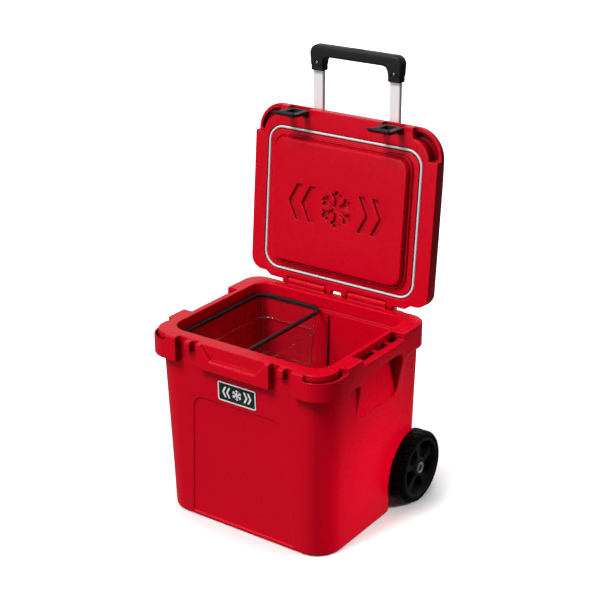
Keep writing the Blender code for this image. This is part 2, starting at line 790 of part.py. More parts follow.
steel = paint("axle_steel", (0.55, 0.55, 0.55), 0.35, 1.0)
rod = [(0.0, -0.2345), (AXLE_R, -0.2345), (AXLE_R, 0.2345), (0.0, 0.2345)]
turned("axle", rod, "x", (0, WHEEL_Y, WHEEL_R), steel, None, 16)

for side in (-1, 1):
    tag = "left" if side < 0 else "right"
    hub = pivot("wheel_pivot_" + tag, (side * WHEEL_IN, WHEEL_Y, WHEEL_R))
    wide = WHEEL_OUT - WHEEL_IN

    def out(profile):
        return [(r, side * at) for r, at in profile]

    tyre = [
        (0.0700, 0.0), (0.0770, 0.0), (0.0800, 0.002), (0.0828, 0.008),
        (WHEEL_R, wide / 2 - 0.002), (WHEEL_R - 0.0015, wide / 2), (WHEEL_R, wide / 2 + 0.002),
        (0.0828, wide - 0.008), (0.0798, wide - 0.002), (0.0775, wide), (0.0700, wide),
    ]
    turned(
        "tyre_" + tag, out(tyre), "x", (0, 0, 0), paint("tyre_" + tag, (0.012, 0.012, 0.012), 0.7), hub, 40
    )
    rim = [
        (0.0066, 0.0005), (0.0697, 0.0005), (0.0697, wide - 0.0005), (0.0640, wide - 0.0005),
        (0.0610, wide - 0.012), (0.0220, wide - 0.012), (0.0190, wide - 0.005),
        (0.0132, wide - 0.005), (0.0132, wide - 0.009), (0.0066, wide - 0.009),
    ]
    wheel = turned(
        "wheel_rim_" + tag, out(rim), "x", (0, 0, 0), paint("rim_" + tag, BLACK, 0.5), hub, 40, 0.37
    )
    for k in range(5):
        mid = 90 + 72 * k
        window = arc(0, 0, 0.0575, mid + 12, mid + 60, 5)
        window += arc(0, 0, 0.0270, mid + 54, mid + 18, 2)
        name = f"spoke_gap_{tag}_{k}"
        cut(wheel, prism(name, window, "x", -0.06, 0.06, None, hub))
    lo = side * (wide - 0.0087)
    cap = [
        (0.0, 0.0), (0.0129, 0.0), (0.0129, 0.0060), (0.0115, 0.0075), (0.0095, 0.0075),
        (0.0085, 0.0062), (0.0, 0.0062),
    ]
    turned(
        "axle_cap_" + tag, out(cap), "x", (lo, 0, 0), paint("cap_" + tag, (0.7, 0.7, 0.7), 0.25, 1.0), hub, 24
    )
    ring = [(0.0064, 0.0), (0.0120, 0.0), (0.0120, 0.0030), (0.0064, 0.0030)]
    turned(
        "axle_washer_" + tag,
        out(ring),
        "x",
        (side * (ARCH_X + GAP), WHEEL_Y, WHEEL_R),
        paint("washer_" + tag, (0.6, 0.6, 0.6), 0.4, 1.0),
        None,
        16,
    )

# ---------------------------------------------------------------- handle


def tube(name, wide, deep, low, high, wall, mat, parent=None, at=0.0):
    """Rounded rectangular tube standing on end about a post line."""
    w, d = wide / 2, deep / 2
    outer = rounded(at - w, at + w, -d, d, 0.003, None, 3)
    inner = rounded(
        at - w + wall, at + w - wall, -d + wall, d - wall, 0.003 - wall / 2, None, 3
    )
    return frame_solid(name, outer, inner, low, high, mat, parent)


def bar(name, wide, deep, low, high, at, y=0.0):
    plan = rounded(at - wide / 2, at + wide / 2, y - deep / 2, y + deep / 2, 0.003, None, 3)
    return prism(name, plan, "z", low, high)


alloy = paint("tube_alloy", (0.75, 0.75, 0.76), 0.3, 1.0)
dark = paint("bracket_black", BLACK, 0.55)
bracket_y = (0.2295, 0.2590)
top = box("bracket_top", (-0.128, 0.128), bracket_y, (0.360, 0.394), dark)
low = box("bracket_bottom", (-0.128, 0.128), bracket_y, (0.030, 0.066), dark)
bevel(top, 0.003, 2)
bevel(low, 0.003, 2)
for side in (-1, 1):
    tag = "left" if side < 0 else "right"
    mid = side * POST_X
    wide, deep = OUTER_W + 2 * GAP, OUTER_D + 2 * GAP
    cut(top, bar("top_socket_" + tag, wide, deep, 0.35, 0.41, mid, POST_Y))
    cut(low, bar("low_socket_" + tag, wide, deep, 0.0385, 0.08, mid, POST_Y))
for side in (-1, 1):
    tag = "left" if side < 0 else "right"
    mid = side * POST_X
    outer = tube("outer_tube_" + tag, OUTER_W, OUTER_D, 0.039, 0.3942, 0.0014, alloy, None, mid)
    outer.location = (0, POST_Y, 0)

stage_one = pivot("handle_stage_one", (0, POST_Y, 0.335))
stage_two = pivot("handle_stage_two", (0, 0, 0.285), stage_one)
for side in (-1, 1):
    tag = "left" if side < 0 else "right"
    mid = side * POST_X
    middle = tube("middle_tube_" + tag, MID_W, MID_D, 0.0, 0.3495, 0.0014, alloy, stage_one, mid)
    collar = bar("tube_collar_" + tag, MID_W + 0.0050, MID_D + 0.0045, 0.3498, 0.3640, mid)
    collar.data.materials.append(dark)
    collar.parent = stage_one
    hole = bar("collar_hole_" + tag, POST_W + 2 * GAP, POST_D + 2 * GAP, 0.34, 0.38, mid)
    hole.parent = stage_one
    cut(collar, hole)
    post = tube("inner_post_" + tag, POST_W, POST_D, 0.0, 0.3320, 0.0014, alloy, stage_two, mid)
    bore = prism(
        "post_bore_" + tag, circle(mid, 0.932 - 0.620, 0.0023, 10), "y", -0.02, 0.02
    )
    bore.parent = stage_two
    cut(post, bore)

# grip: a rounded bridge over the two posts
GRIP_FRONT, GRIP_REAR = -0.0120, 0.0130
base = 0.620
outline = [(-0.1144, 0.9245 - base), (-0.0804, 0.9245 - base), (-0.0804, 0.932 - base)]
outline += [(-0.0792, 0.9375 - base), (-0.0755, 0.9435 - base), (-0.068, 0.9457 - base)]
outline += [(-x, z) for x, z in reversed(outline)]
outline += arc(0.0974, 0.9520 - base, 0.0190, 0, 90, 5)
outline += [(-x, z) for x, z in reversed(arc(0.0974, 0.9520 - base, 0.0190, 0, 90, 5))]
grip = prism(
    "grip_body", outline, "y", GRIP_FRONT, GRIP_REAR, paint("grip_black", BLACK, 0.6), stage_two
)
bevel(grip, 0.0055, 3, 50)
for side in (-1, 1):
    tag = "left" if side < 0 else "right"
    mid = side * POST_X
    # narrower sleeve under each leg, with a small rib round its top
    sleeve = bar("sleeve_" + tag, 0.0310, 0.0220, 0.9145 - base, 0.9320 - base, mid, 0.0005)
    rib = bar("sleeve_rib_" + tag, 0.0376, 0.0080, 0.9250 - base, 0.9280 - base, mid, 0.0005)
    for tool in (sleeve, rib):
        tool.parent = stage_two
        join(grip, tool)
    socket = bar("grip_socket_" + tag, POST_W + 2 * GAP, POST_D + 2 * GAP, 0.28, 0.3325, mid)
    hole = prism("grip_hole_" + tag, circle(mid, 0.932 - base, 0.0023, 10), "y", -0.03, 0.011)
    seat = prism("grip_seat_" + tag, circle(mid, 0.932 - base, 0.0045, 14), "y", -0.03, -0.0095)
    for tool in (socket, hole, seat):
        tool.parent = stage_two
        cut(grip, tool)
    screw = [(0.0, 0.0), (0.0042, 0.0), (0.0042, 0.0019), (0.0020, 0.0019), (0.0020, 0.020), (0.0, 0.020)]
    steel = paint("screw_" + tag, (0.3, 0.3, 0.3), 0.35, 1.0)
    turned("grip_screw_" + tag, screw, "y", (mid, -0.0117, 0.932 - base), steel, stage_two, 14)

# release button in the top of the grip
button_pivot = pivot("button_pivot", (0, 0.0005, 0.9635 - base), stage_two)
well = box("button_well", (-0.0165, 0.0165), (-0.0060, 0.0070), (0.9550 - base, 0.99 - base))
well.parent = stage_two
cut(grip, well)
plan = rounded(-0.0160, 0.0160, -0.0060, 0.0060, 0.003, None, 3)
button = prism(
    "lock_button", plan, "z", -0.0045, 0.0080, paint("button_grey", (0.06, 0.06, 0.06), 0.5), button_pivot
)

# ---------------------------------------------------------------- lift-out bin

bin_pivot = pivot("bin_pivot", (0, 0, LEDGE_Z))


def bin_loop(z, inset):
    narrow = inset + 0.045 * (LEDGE_Z - z)
    plan = rounded(
        BIN_LEFT + narrow, BIN_RIGHT - narrow, BIN_FRONT + narrow, BIN_REAR - narrow,
        max(BIN_CORNER - inset, 0.01),
    )
    return [(x, y, z - LEDGE_Z) for x, y in plan]


rings = [bin_loop(BIN_FLOOR, 0.006), bin_loop(BIN_FLOOR + 0.006, 0.0), bin_loop(LEDGE_Z, 0.0)]
clear = paint("bin_clear", (0.9, 0.9, 0.92), 0.08)
tray = stack("bin_tray", rings, clear, True, bin_pivot)
rings = [
    bin_loop(BIN_FLOOR + BIN_WALL, 0.006 + BIN_WALL),
    bin_loop(BIN_FLOOR + 0.0085, BIN_WALL),
    bin_loop(LEDGE_Z + 0.01, BIN_WALL),
]
cut(tray, stack("bin_hollow", rings, None, True, bin_pivot))
outer = rounded(
    BIN_LEFT - 0.0056, BIN_RIGHT + 0.0056, BIN_FRONT - 0.0056, BIN_REAR + 0.0056, 0.0336
)
inner = rounded(
    BIN_LEFT + 0.0034, BIN_RIGHT - 0.0034, BIN_FRONT + 0.0034, BIN_REAR - 0.0034, 0.0246
)
frame_solid("bin_rim", outer, inner, GAP, 0.0083, paint("bin_black", BLACK, 0.5), bin_pivot)
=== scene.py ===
import math

import bmesh
import bpy
import numpy as np
from mathutils import Matrix, Vector


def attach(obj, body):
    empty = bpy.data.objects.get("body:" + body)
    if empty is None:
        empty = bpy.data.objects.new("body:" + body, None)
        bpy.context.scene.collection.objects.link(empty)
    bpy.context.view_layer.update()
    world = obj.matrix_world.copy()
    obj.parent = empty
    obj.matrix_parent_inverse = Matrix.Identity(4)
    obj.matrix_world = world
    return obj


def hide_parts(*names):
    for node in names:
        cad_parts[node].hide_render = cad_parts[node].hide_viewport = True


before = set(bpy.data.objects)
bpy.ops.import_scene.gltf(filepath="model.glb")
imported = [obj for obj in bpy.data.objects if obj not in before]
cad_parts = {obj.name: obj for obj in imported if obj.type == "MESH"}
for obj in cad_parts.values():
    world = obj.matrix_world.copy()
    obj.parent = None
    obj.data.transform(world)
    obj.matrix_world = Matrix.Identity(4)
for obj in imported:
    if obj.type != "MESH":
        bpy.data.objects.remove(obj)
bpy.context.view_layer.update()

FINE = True

# ------------------------------------------------------------------ dimensions
RIM_Z = 0.430
BASE_HALF, SIDE_DRAFT = 0.2128, 0.0245
FRONT_Y, FRONT_DRAFT = -0.1815, -0.0348
REAR_Y, REAR_DRAFT = 0.178, 0.0108
CORNER_FRONT, CORNER_REAR = 0.0578, 0.038
RIM_HALF, RIM_FRONT, RIM_REAR = 0.2335, -0.211, 0.184
RIM_CORNER_FRONT, RIM_CORNER_REAR = 0.055, 0.040
BAND_Z, FLARE_Z, FLARE_TALL = 0.372, 0.283, 0.117
HUMP_HALF, HUMP_REAR = 0.135, 0.2292
MOUTH_HALF, MOUTH_FRONT, MOUTH_REAR, MOUTH_CORNER = 0.194, -0.1695, 0.153, 0.036
LEDGE_Z, LEDGE, FLOOR_Z, CHAMBER_DRAFT = 0.3995, 0.0082, 0.060, 0.0235
BAY_X, BAY_HALF, BAY_DEEP = 0.120, 0.0275, 0.016
STRAP_X, STRAP_Y, STRAP_IN, STRAP_OUT = 0.178, -0.160, 0.0435, 0.049
STRAP_Z, STRAP_LOW = 0.4175, 0.374
WHEEL_Y, WHEEL_R, WHEEL_IN, WHEEL_OUT = 0.1524, 0.0828, 0.1998, 0.245
AXLE_R, ARCH_R, ARCH_X = 0.006, 0.0863, 0.196
HINGE_Y, HINGE_Z, BARREL_R = 0.178, 0.439, 0.0085
LID_OPEN = math.radians(94.41)
LID_PLANE, LID_THICK, LID_SLOPE = 0.4303, 0.0365, 0.0055
LID_HALF, LID_FRONT, LID_REAR, LID_REAR_CORNER = 0.2335, -0.220, 0.1765, 0.1667
LID_CORNER = 0.062
CHANNEL_IN = (0.1666, -0.1524, 0.0444)
CHANNEL_OUT = (0.1740, -0.1580, 0.0520)
GASKET_HALF, GASKET_FRONT, GASKET_REAR, GASKET_CORNER = 0.1945, -0.1715, 0.1519, 0.035
SEAL_HALF, SEAL_TALL, GROOVE_HALF = 0.0028, 0.0026, 0.0043
PLUG_HALF, PLUG_FRONT, PLUG_REAR, PLUG_DEEP = 0.178, -0.1603, 0.1341, 0.016
LATCH_X, LATCH_Y, LATCH_Z = 0.120, -0.2119, 0.4355
LATCH_WIDE, LATCH_LONG = 0.052, 0.0675
POST_X, POST_Y, SCREW_Z = 0.0974, 0.2455, 0.932
DRAIN_Y, DRAIN_Z, DRAIN_R, DRAIN_POCKET = -0.060, 0.074, 0.011, 0.0215
BADGE_Z, BADGE_W, BADGE_H, BADGE_T = 0.331, 0.098, 0.0445, 0.0022
BIN_LEFT, BIN_RIGHT, BIN_FRONT, BIN_REAR = -0.1855, -0.0185, -0.1605, 0.1435
BIN_FLOOR, BIN_WALL, BIN_CORNER = 0.262, 0.0025, 0.028

ARC = 14 if FINE else 8


# ------------------------------------------------------------------ materials
class Nodes:
    """Small helper that adds and links shader nodes."""

    def __init__(self, name):
        self.mat = bpy.data.materials.new(name)
        self.mat.use_nodes = True
        self.tree = self.mat.node_tree
        self.shader = self.tree.nodes["Principled BSDF"]
        self.output = self.tree.nodes["Material Output"]

    def add(self, kind, inputs=(), **settings):
        node = self.tree.nodes.new(kind)
        for key, value in settings.items():
            setattr(node, key, value)
        for key, value in dict(inputs).items():
            if isinstance(value, bpy.types.NodeSocket):
                self.tree.links.new(value, node.inputs[key])
            else:
                node.inputs[key].default_value = value
        return node

    def link(self, out, socket):
        self.tree.links.new(out, socket)

    def coords(self, stretch=(1, 1, 1)):
        base = self.add("ShaderNodeTexCoord")
        return self.add(
            "ShaderNodeMapping", {"Vector": base.outputs["Object"], "Scale": stretch}
        ).outputs["Vector"]

    def noise(self, scale, detail=3.0, rough=0.5, stretch=(1, 1, 1)):
        return self.add(
            "ShaderNodeTexNoise",
            {"Vector": self.coords(stretch), "Scale": scale, "Detail": detail, "Roughness": rough},
        ).outputs["Fac"]

    def ramp(self, fac, low, high, at=(0.3, 0.7)):
        node = self.add("ShaderNodeMapRange", {
            "Value": fac, "From Min": at[0], "From Max": at[1], "To Min": low, "To Max": high,
        })
        return node.outputs["Result"]

    def mix(self, fac, a, b):
        node = self.add("ShaderNodeMix", data_type="RGBA")
        for socket, value in ((node.inputs[0], fac), (node.inputs[6], a), (node.inputs[7], b)):
            if isinstance(value, bpy.types.NodeSocket):
                self.link(value, socket)
            else:
                socket.default_value = value
        return node.outputs[2]

    def bump(self, *layers):
        normal = None
        for height, distance in layers:
            inputs = {"Height": height, "Distance": distance, "Strength": 1.0}
            if normal is not None:
                inputs["Normal"] = normal
            normal = self.add("ShaderNodeBump", inputs).outputs["Normal"]
        self.link(normal, self.shader.inputs["Normal"])


def rgb(r, g, b):
    """sRGB bytes to linear colour."""
    out = []
    for c in (r, g, b):
        c = c / 255
        out.append(c / 12.92 if c <= 0.04045 else ((c + 0.055) / 1.055) ** 2.4)
    return (*out, 1.0)


# reach of the painted shade in recesses
RECESS_REACH = 0.034


def moulded(name, color, shade, rough=(0.36, 0.46), grain=0.00006, specular=0.25, scale=900, painted_shade=None):
    """Moulded plastic: fine grain, slight mottling and roughness that drifts.

    The optional recess colour is painted shade: ambient occlusion mixes it into narrow recesses, where little
    light gets in.
    """
    n = Nodes(name)
    drift = n.ramp(n.noise(7.0, 2.0), 0.0, 1.0)
    tint = n.mix(drift, color, shade)
    # painted shade: ambient occlusion darkens the base colour in narrow recesses
    if painted_shade:
        open_sky = n.add("ShaderNodeAmbientOcclusion", {"Distance": RECESS_REACH}, samples=8, only_local=True)
        tint = n.mix(n.ramp(open_sky.outputs["AO"], 0.0, 1.0, (0.30, 0.86)), painted_shade, tint)
    n.link(tint, n.shader.inputs["Base Color"])
    smudge = n.noise(38.0, 4.0, 0.6)
    n.link(n.ramp(smudge, rough[0], rough[1]), n.shader.inputs["Roughness"])
    n.shader.inputs["Specular IOR Level"].default_value = specular
    fine = n.noise(scale, 2.0, 0.6)
    n.bump((n.noise(45.0, 1.0), 0.00004), (fine, 0.5 * grain))
    return n.mat


def metal(name, color, rough=(0.2, 0.3), stretch=(1, 1, 1), scale=500, lines=0.00002, metallic=1.0):
    """Metal with fine lines along the stretched direction."""
    n = Nodes(name)
    brushed = n.noise(scale, 2.0, 0.6, stretch)
    n.link(n.mix(n.ramp(brushed, 0.0, 1.0), color, tuple(0.93 * c for c in color[:3]) + (1.0,)),
           n.shader.inputs["Base Color"])
    n.link(n.ramp(brushed, rough[0], rough[1]), n.shader.inputs["Roughness"])
    n.shader.inputs["Metallic"].default_value = metallic
    n.bump((brushed, lines))
    return n.mat


# red plastic, with painted shade mixed into its narrow recesses
RED = moulded(
    "red_polyethylene", (0.640, 0.0, 0.0135, 1), (0.615, 0.0, 0.0125, 1), (0.24, 0.31),
    specular=0.16, painted_shade=(0.10, 0.0, 0.002, 1),
)
RUBBER = moulded("black_rubber", rgb(30, 32, 32), rgb(24, 26, 26), (0.38, 0.5), 0.00008, 0.25, 1300)
NYLON = moulded("black_nylon", rgb(36, 36, 36), rgb(31, 31, 31), (0.35, 0.46), 0.00008, 0.2, 1500)
TYRE = moulded("tyre_rubber", rgb(8, 8, 8), rgb(5, 5, 5), (0.4, 0.5), 0.0001, 0.07, 1100)
RIM_PLASTIC = moulded("wheel_plastic", rgb(24, 24, 24), rgb(19, 19, 19), (0.32, 0.42), 0.00006, 0.15, 1500)
GASKET = moulded("gasket_silicone", rgb(222, 224, 226), rgb(212, 215, 218), (0.35, 0.5), 0.00003, 0.5, 1200)
FOAM = moulded("cream_foam", rgb(225, 212, 180), rgb(205, 190, 150), (0.8, 0.95), 0.0004, 0.1, 350)
FIELD = moulded("badge_field", rgb(24, 38, 35), rgb(20, 32, 30), (0.3, 0.4), 0.00002, 0.4, 1500)
PRINT = moulded("badge_white", rgb(238, 240, 240), rgb(228, 231, 231), (0.3, 0.4), 0.00002, 0.5, 1500)
POST = metal("satin_aluminium", (0.98, 0.98, 0.985, 1), (0.34, 0.42), (60, 60, 1), 40, 0.000004, 0.12)
STEEL = metal("brushed_steel", (0.62, 0.62, 0.63, 1), (0.25, 0.38), (1, 60, 60), 30)
SCREW = metal("screw_steel", (0.60, 0.60, 0.61, 1), (0.2, 0.3), (1, 60, 60), 30)
CHROME = metal("cap_chrome", (0.97, 0.97, 0.975, 1), (0.24, 0.32), (1, 1, 1), 600, 0.000005)
DARK = moulded("cap_dark", rgb(20, 20, 21), rgb(15, 15, 16), (0.3, 0.4), 0.00005, 0.4, 1500)


def clear_plastic(name, least=0.03):
    """Thin clear moulding: see-through face on, brighter and glossier at the edges."""
    n = Nodes(name)
    n.tree.nodes.remove(n.shader)
    facing = n.add("ShaderNodeLayerWeight", {"Blend": 0.5}).outputs["Facing"]
    curve = n.add("ShaderNodeMath", {0: facing, 1: 5.0}, operation="POWER").outputs[0]
    edge = n.add("ShaderNodeMapRange", {"Value": curve, "To Min": least, "To Max": 0.8}).outputs["Result"]
    ripple = n.add("ShaderNodeBump", {
        "Height": n.noise(18.0, 1.0), "Distance": 0.0008, "Strength": 1.0,
    })
    gloss = n.add("ShaderNodeBsdfGlossy", {
        "Color": (0.95, 0.95, 0.96, 1), "Roughness": 0.05, "Normal": ripple.outputs["Normal"],
    })
    haze = n.add("ShaderNodeBsdfDiffuse", {"Color": (0.75, 0.76, 0.77, 1)})
    clear = n.add("ShaderNodeBsdfTransparent", {"Color": (0.97, 0.97, 0.975, 1)})
    cloudy = n.add("ShaderNodeMixShader", {0: n.ramp(n.noise(9.0, 3.0), 0.001, 0.004)})
    n.link(clear.outputs[0], cloudy.inputs[1])
    n.link(haze.outputs[0], cloudy.inputs[2])
    both = n.add("ShaderNodeMixShader", {0: edge})
    n.link(cloudy.outputs[0], both.inputs[1])
    n.link(gloss.outputs[0], both.inputs[2])
    n.link(both.outputs[0], n.output.inputs["Surface"])
    return n.mat


CLEAR = clear_plastic("clear_plastic", 0.012)
CLEAR_EDGE = clear_plastic("clear_bead_plastic", 0.55)


# ------------------------------------------------------------------ mesh tools
def toward(angle, distance):
    """Point at a distance from the origin, in a direction given in degrees."""
    return distance * math.cos(math.radians(angle)), distance * math.sin(math.radians(angle))


def arc(cx, cy, radius, start, end, count):
    steps = (toward(start + (end - start) * i / count, radius) for i in range(count + 1))
    return [(cx + x, cy + y) for x, y in steps]


def circle(cx, cy, radius, count=48):
    return arc(cx, cy, radius, 0, 360, count)[:-1]


def rounded(left, right, front, rear, r_front, r_rear=None, count=None):
    count = count or ARC
    back = r_front if r_rear is None else r_rear
    return (
        arc(right - r_front, front + r_front, r_front, -90, 0, count)
        + arc(right - back, rear - back, back, 0, 90, count)
        + arc(left + back, rear - back, back, 90, 180, count)
        + arc(left + r_front, front + r_front, r_front, 180, 270, count)
    )


def sector(cx, cy, inner, outer, start, end, count=20):
    return arc(cx, cy, outer, start, end, count) + arc(cx, cy, inner, end, start, count)


def smoothstep(t):
    t = min(max(t, 0.0), 1.0)
    return t * t * (3 - 2 * t)


def make(name, points, faces, mat=None, smooth=35):
    mesh = bpy.data.meshes.new(name)
    mesh.from_pydata([tuple(p) for p in points], [], faces)
    shape = bmesh.new()
    shape.from_mesh(mesh)
    bmesh.ops.remove_doubles(shape, verts=shape.verts, dist=1e-6)
    bmesh.ops.recalc_face_normals(shape, faces=shape.faces)
    shape.to_mesh(mesh)
    shape.free()
    obj = bpy.data.objects.new(name, mesh)
    bpy.context.scene.collection.objects.link(obj)
    if mat:
        mesh.materials.append(mat)
    if smooth:
        mesh.shade_smooth()
        mesh.set_sharp_from_angle(angle=math.radians(smooth))
    return obj


def stack(name, rings, mat=None, smooth=35):
    """Closed solid through a row of rings of equal length."""
    count = len(rings[0])
    points = [p for ring in rings for p in ring]
    faces = []
    for level in range(len(rings) - 1):
        low, high = level * count, (level + 1) * count
        for i in range(count):
            j = (i + 1) % count
            faces.append((low + i, low + j, high + j, high + i))
    faces.append(tuple(reversed(range(count))))
    faces.append(tuple(range(len(points) - count, len(points))))
    return make(name, points, faces, mat, smooth)


def prism(name, outline, axis, low, high, mat=None):
    def place(p, at):
        if axis == "x":
            return (at, p[0], p[1])
        if axis == "y":
            return (p[0], at, p[1])
        return (p[0], p[1], at)

    return stack(name, [[place(p, at) for p in outline] for at in (low, high)], mat)


def box(name, x, y, z, mat=None):
    return prism(name, [(x[0], y[0]), (x[1], y[0]), (x[1], y[1]), (x[0], y[1])], "z", *z, mat)


def ring_solid(name, loops, mat=None):
    """Closed ring through a cycle of loops of equal length."""
    count = len(loops[0])
    points = [p for row in loops for p in row]
    faces = []
    for level in range(len(loops)):
        a, b = level * count, ((level + 1) % len(loops)) * count
        for i in range(count):
            j = (i + 1) % count
            faces.append((a + i, a + j, b + j, b + i))
    return make(name, points, faces, mat)


def turned(name, profile, axis, centre, mat=None, count=64, wave=None, smooth=35):
    """Profile of (radius, place on the axis) turned about an axis; wave lowers the radius."""
    rings = []
    for i in range(count):
        angle = 2 * math.pi * i / count
        c, s = math.cos(angle), math.sin(angle)
        ring = []
        for k, (radius, at) in enumerate(profile):
            r = radius - (wave(angle, k, at) if wave else 0.0)
            spot = {"x": (at, r * c, r * s), "y": (r * c, at, r * s), "z": (r * c, r * s, at)}[axis]
            ring.append(tuple(a + b for a, b in zip(centre, spot)))
        rings.append(ring)
    size = len(profile)
    points = [p for ring in rings for p in ring]
    faces = []
    hollow = min(p[0] for p in profile) > 0
    for i in range(count):
        a, b = i * size, ((i + 1) % count) * size
        for k in range(size if hollow else size - 1):
            m = (k + 1) % size
            faces.append((a + k, b + k, b + m, a + m))
    return make(name, points, faces, mat, smooth)


def settle(obj):
    """Applies an object's modifiers to its mesh."""
    graph = bpy.context.evaluated_depsgraph_get()
    mesh = bpy.data.meshes.new_from_object(obj.evaluated_get(graph))
    obj.modifiers.clear()
    obj.data = mesh
    return obj


def combine(obj, operation, others):
    """Boolean of an object with others, which are used up."""
    for other in others:
        step = obj.modifiers.new(other.name, "BOOLEAN")
        step.operation, step.solver, step.object = operation, "EXACT", other
    settle(obj)
    for other in others:
        bpy.data.objects.remove(other)
    return obj


def cut(obj, *others):
    return combine(obj, "DIFFERENCE", others)


def join(obj, *others):
    return combine(obj, "UNION", others)


def merge(name, objs):
    """One object from several closed shells, kept apart as islands."""
    shape = bmesh.new()
    for obj in objs:
        shape.from_mesh(obj.data)
    mesh = bpy.data.meshes.new(name)
    shape.to_mesh(mesh)
    shape.free()
    mesh.materials.append(objs[0].data.materials[0])
    for obj in objs:
        bpy.data.objects.remove(obj)
    new = bpy.data.objects.new(name, mesh)
    bpy.context.scene.collection.objects.link(new)
    mesh.shade_smooth()
    mesh.set_sharp_from_angle(angle=math.radians(35))
    return new


def soften(obj, voxel, passes=4, keep=120000):
    """Rounds every edge the way a moulding does, then thins the flat areas."""
    step = obj.modifiers.new("skin", "REMESH")
    step.mode, step.voxel_size = "VOXEL", voxel if FINE else voxel * 1.8
    step = obj.modifiers.new("melt", "SMOOTH")
    step.factor, step.iterations = 0.5, passes
    settle(obj)
    obj.data.calc_loop_triangles()
    step = obj.modifiers.new("thin", "DECIMATE")
    step.ratio = min(1.0, keep / len(obj.data.loop_triangles))
    settle(obj)
    obj.data.shade_smooth()
    calm(obj.data)
    return obj


def calm(mesh, passes=14, limit=0.985):
    """Evens out the normals of nearly flat areas and leaves the edges alone."""
    normals = np.empty(len(mesh.vertices) * 3, np.float32)
    mesh.vertices.foreach_get("normal", normals)
    normals = normals.reshape(-1, 3)
    ends = np.empty(len(mesh.edges) * 2, np.int32)
    mesh.edges.foreach_get("vertices", ends)
    ends = ends.reshape(-1, 2)
    a, b = ends[:, 0], ends[:, 1]
    for _ in range(passes):
        share = np.einsum("ij,ij->i", normals[a], normals[b])
        share = np.clip((share - limit) / (1 - limit), 0, 1)[:, None]
        total = normals.copy()
        np.add.at(total, a, share * normals[b])
        np.add.at(total, b, share * normals[a])
        normals = total / np.linalg.norm(total, axis=1, keepdims=True)
    mesh.normals_split_custom_set_from_vertices(normals)


def bevel(obj, width, segments=3, angle=35):
    step = obj.modifiers.new("edges", "BEVEL")
    step.width, step.segments = width, segments
    step.limit_method, step.angle_limit = "ANGLE", math.radians(angle)
    step.use_clamp_overlap = True
    settle(obj)
    obj.data.shade_smooth()
    step = obj.modifiers.new("weigh", "WEIGHTED_NORMAL")
    step.weight = 60
    return settle(obj)


def move(obj, matrix):
    obj.data.transform(matrix)
    return obj


def dress(obj, mat, body, slot, *nodes):
    """Gives a piece its material and its body, and hides the nodes it stands for; slot is not used."""
    obj.data.materials.clear()
    obj.data.materials.append(mat)
    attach(obj, body)
    if nodes:
        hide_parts(*nodes)
    return obj


LID_TURN = (
    Matrix.Translation((0, HINGE_Y, HINGE_Z))
    @ Matrix.Rotation(-LID_OPEN, 4, "X")
    @ Matrix.Translation((0, -HINGE_Y, -HINGE_Z))
)

# ------------------------------------------------------------------ body shell
SIDE_STEPS = (
    -0.105, -0.0885, -0.0861, -0.0837, -0.0813, -0.0790, -0.060, -0.030, 0.0, 0.030, 0.060, 0.080,
    0.0915, 0.0939, 0.0962, 0.0986, 0.1010, 0.1095, 0.1180, 0.1270,
)
FRONT_STEPS = [i / 8 for i in range(1, 8)]


def loop(half, front, rear, r_front, r_rear):
    """Plan of the body with the same number of points at every height."""
    y0, y1 = front + r_front, rear - r_rear
    side = [(half, y) for y in (y0, *SIDE_STEPS, y1)]
    left = [(-x, y) for x, y in reversed(side)]
    return (
        [(-(half - r_front) * (1 - 2 * t), front) for t in FRONT_STEPS]
        + arc(half - r_front, y0, r_front, -90, 0, ARC)[:-1]
        + side
        + arc(half - r_rear, y1, r_rear, 0, 90, ARC)[1:]
        + arc(-half + r_rear, y1, r_rear, 90, 180, ARC)[:-1]
        + left
        + arc(-half + r_front, y0, r_front, 180, 270, ARC)[1:]
    )


def shell_loop(z, inset=0.0):
    return loop(
        BASE_HALF + SIDE_DRAFT * z - inset,
        FRONT_Y + FRONT_DRAFT * z + inset,
        REAR_Y + REAR_DRAFT * z - inset,
        CORNER_FRONT - inset,
        CORNER_REAR - inset,
    )


def rim_loop(inset=0.0):
    return loop(
        RIM_HALF - inset, RIM_FRONT + inset, RIM_REAR - inset,
        RIM_CORNER_FRONT - inset, RIM_CORNER_REAR - inset,
    )


def flare(y):
    """Where the side wall starts to flare to the rim at one depth, and how tall the flare is."""
    share = smoothstep((y + 0.0885) / 0.0095)
    share -= 0.78 * smoothstep((y - 0.0915) / 0.0095) + 0.22 * smoothstep((y - 0.101) / 0.042)
    return BAND_Z + (FLARE_Z - BAND_Z) * share, 0.003 + (FLARE_TALL - 0.003) * share


def body_outer():
    rings = []
    for z, inset in ((0.0, 0.005), (0.0007, 0.0028), (0.0022, 0.0010), (0.005, 0.0)):
        rings.append([(x, y, z) for x, y in shell_loop(z, inset)])
    rim = rim_loop()
    for k in range(9):
        ring = []
        for i, (rx, ry) in enumerate(rim):
            start, tall = flare(ry)
            z = start + tall * k / 8
            bx, by = shell_loop(z)[i]
            share = smoothstep(k / 8)
            ring.append((bx + (rx - bx) * share, by + (ry - by) * share, z))
        rings.append(ring)
    for down, inset in ((0.0035, 0.0), (0.0020, 0.0004), (0.0008, 0.0014), (0.0, 0.0035)):
        rings.append([(x, y, RIM_Z - down) for x, y in rim_loop(inset)])
    return stack("body", rings)


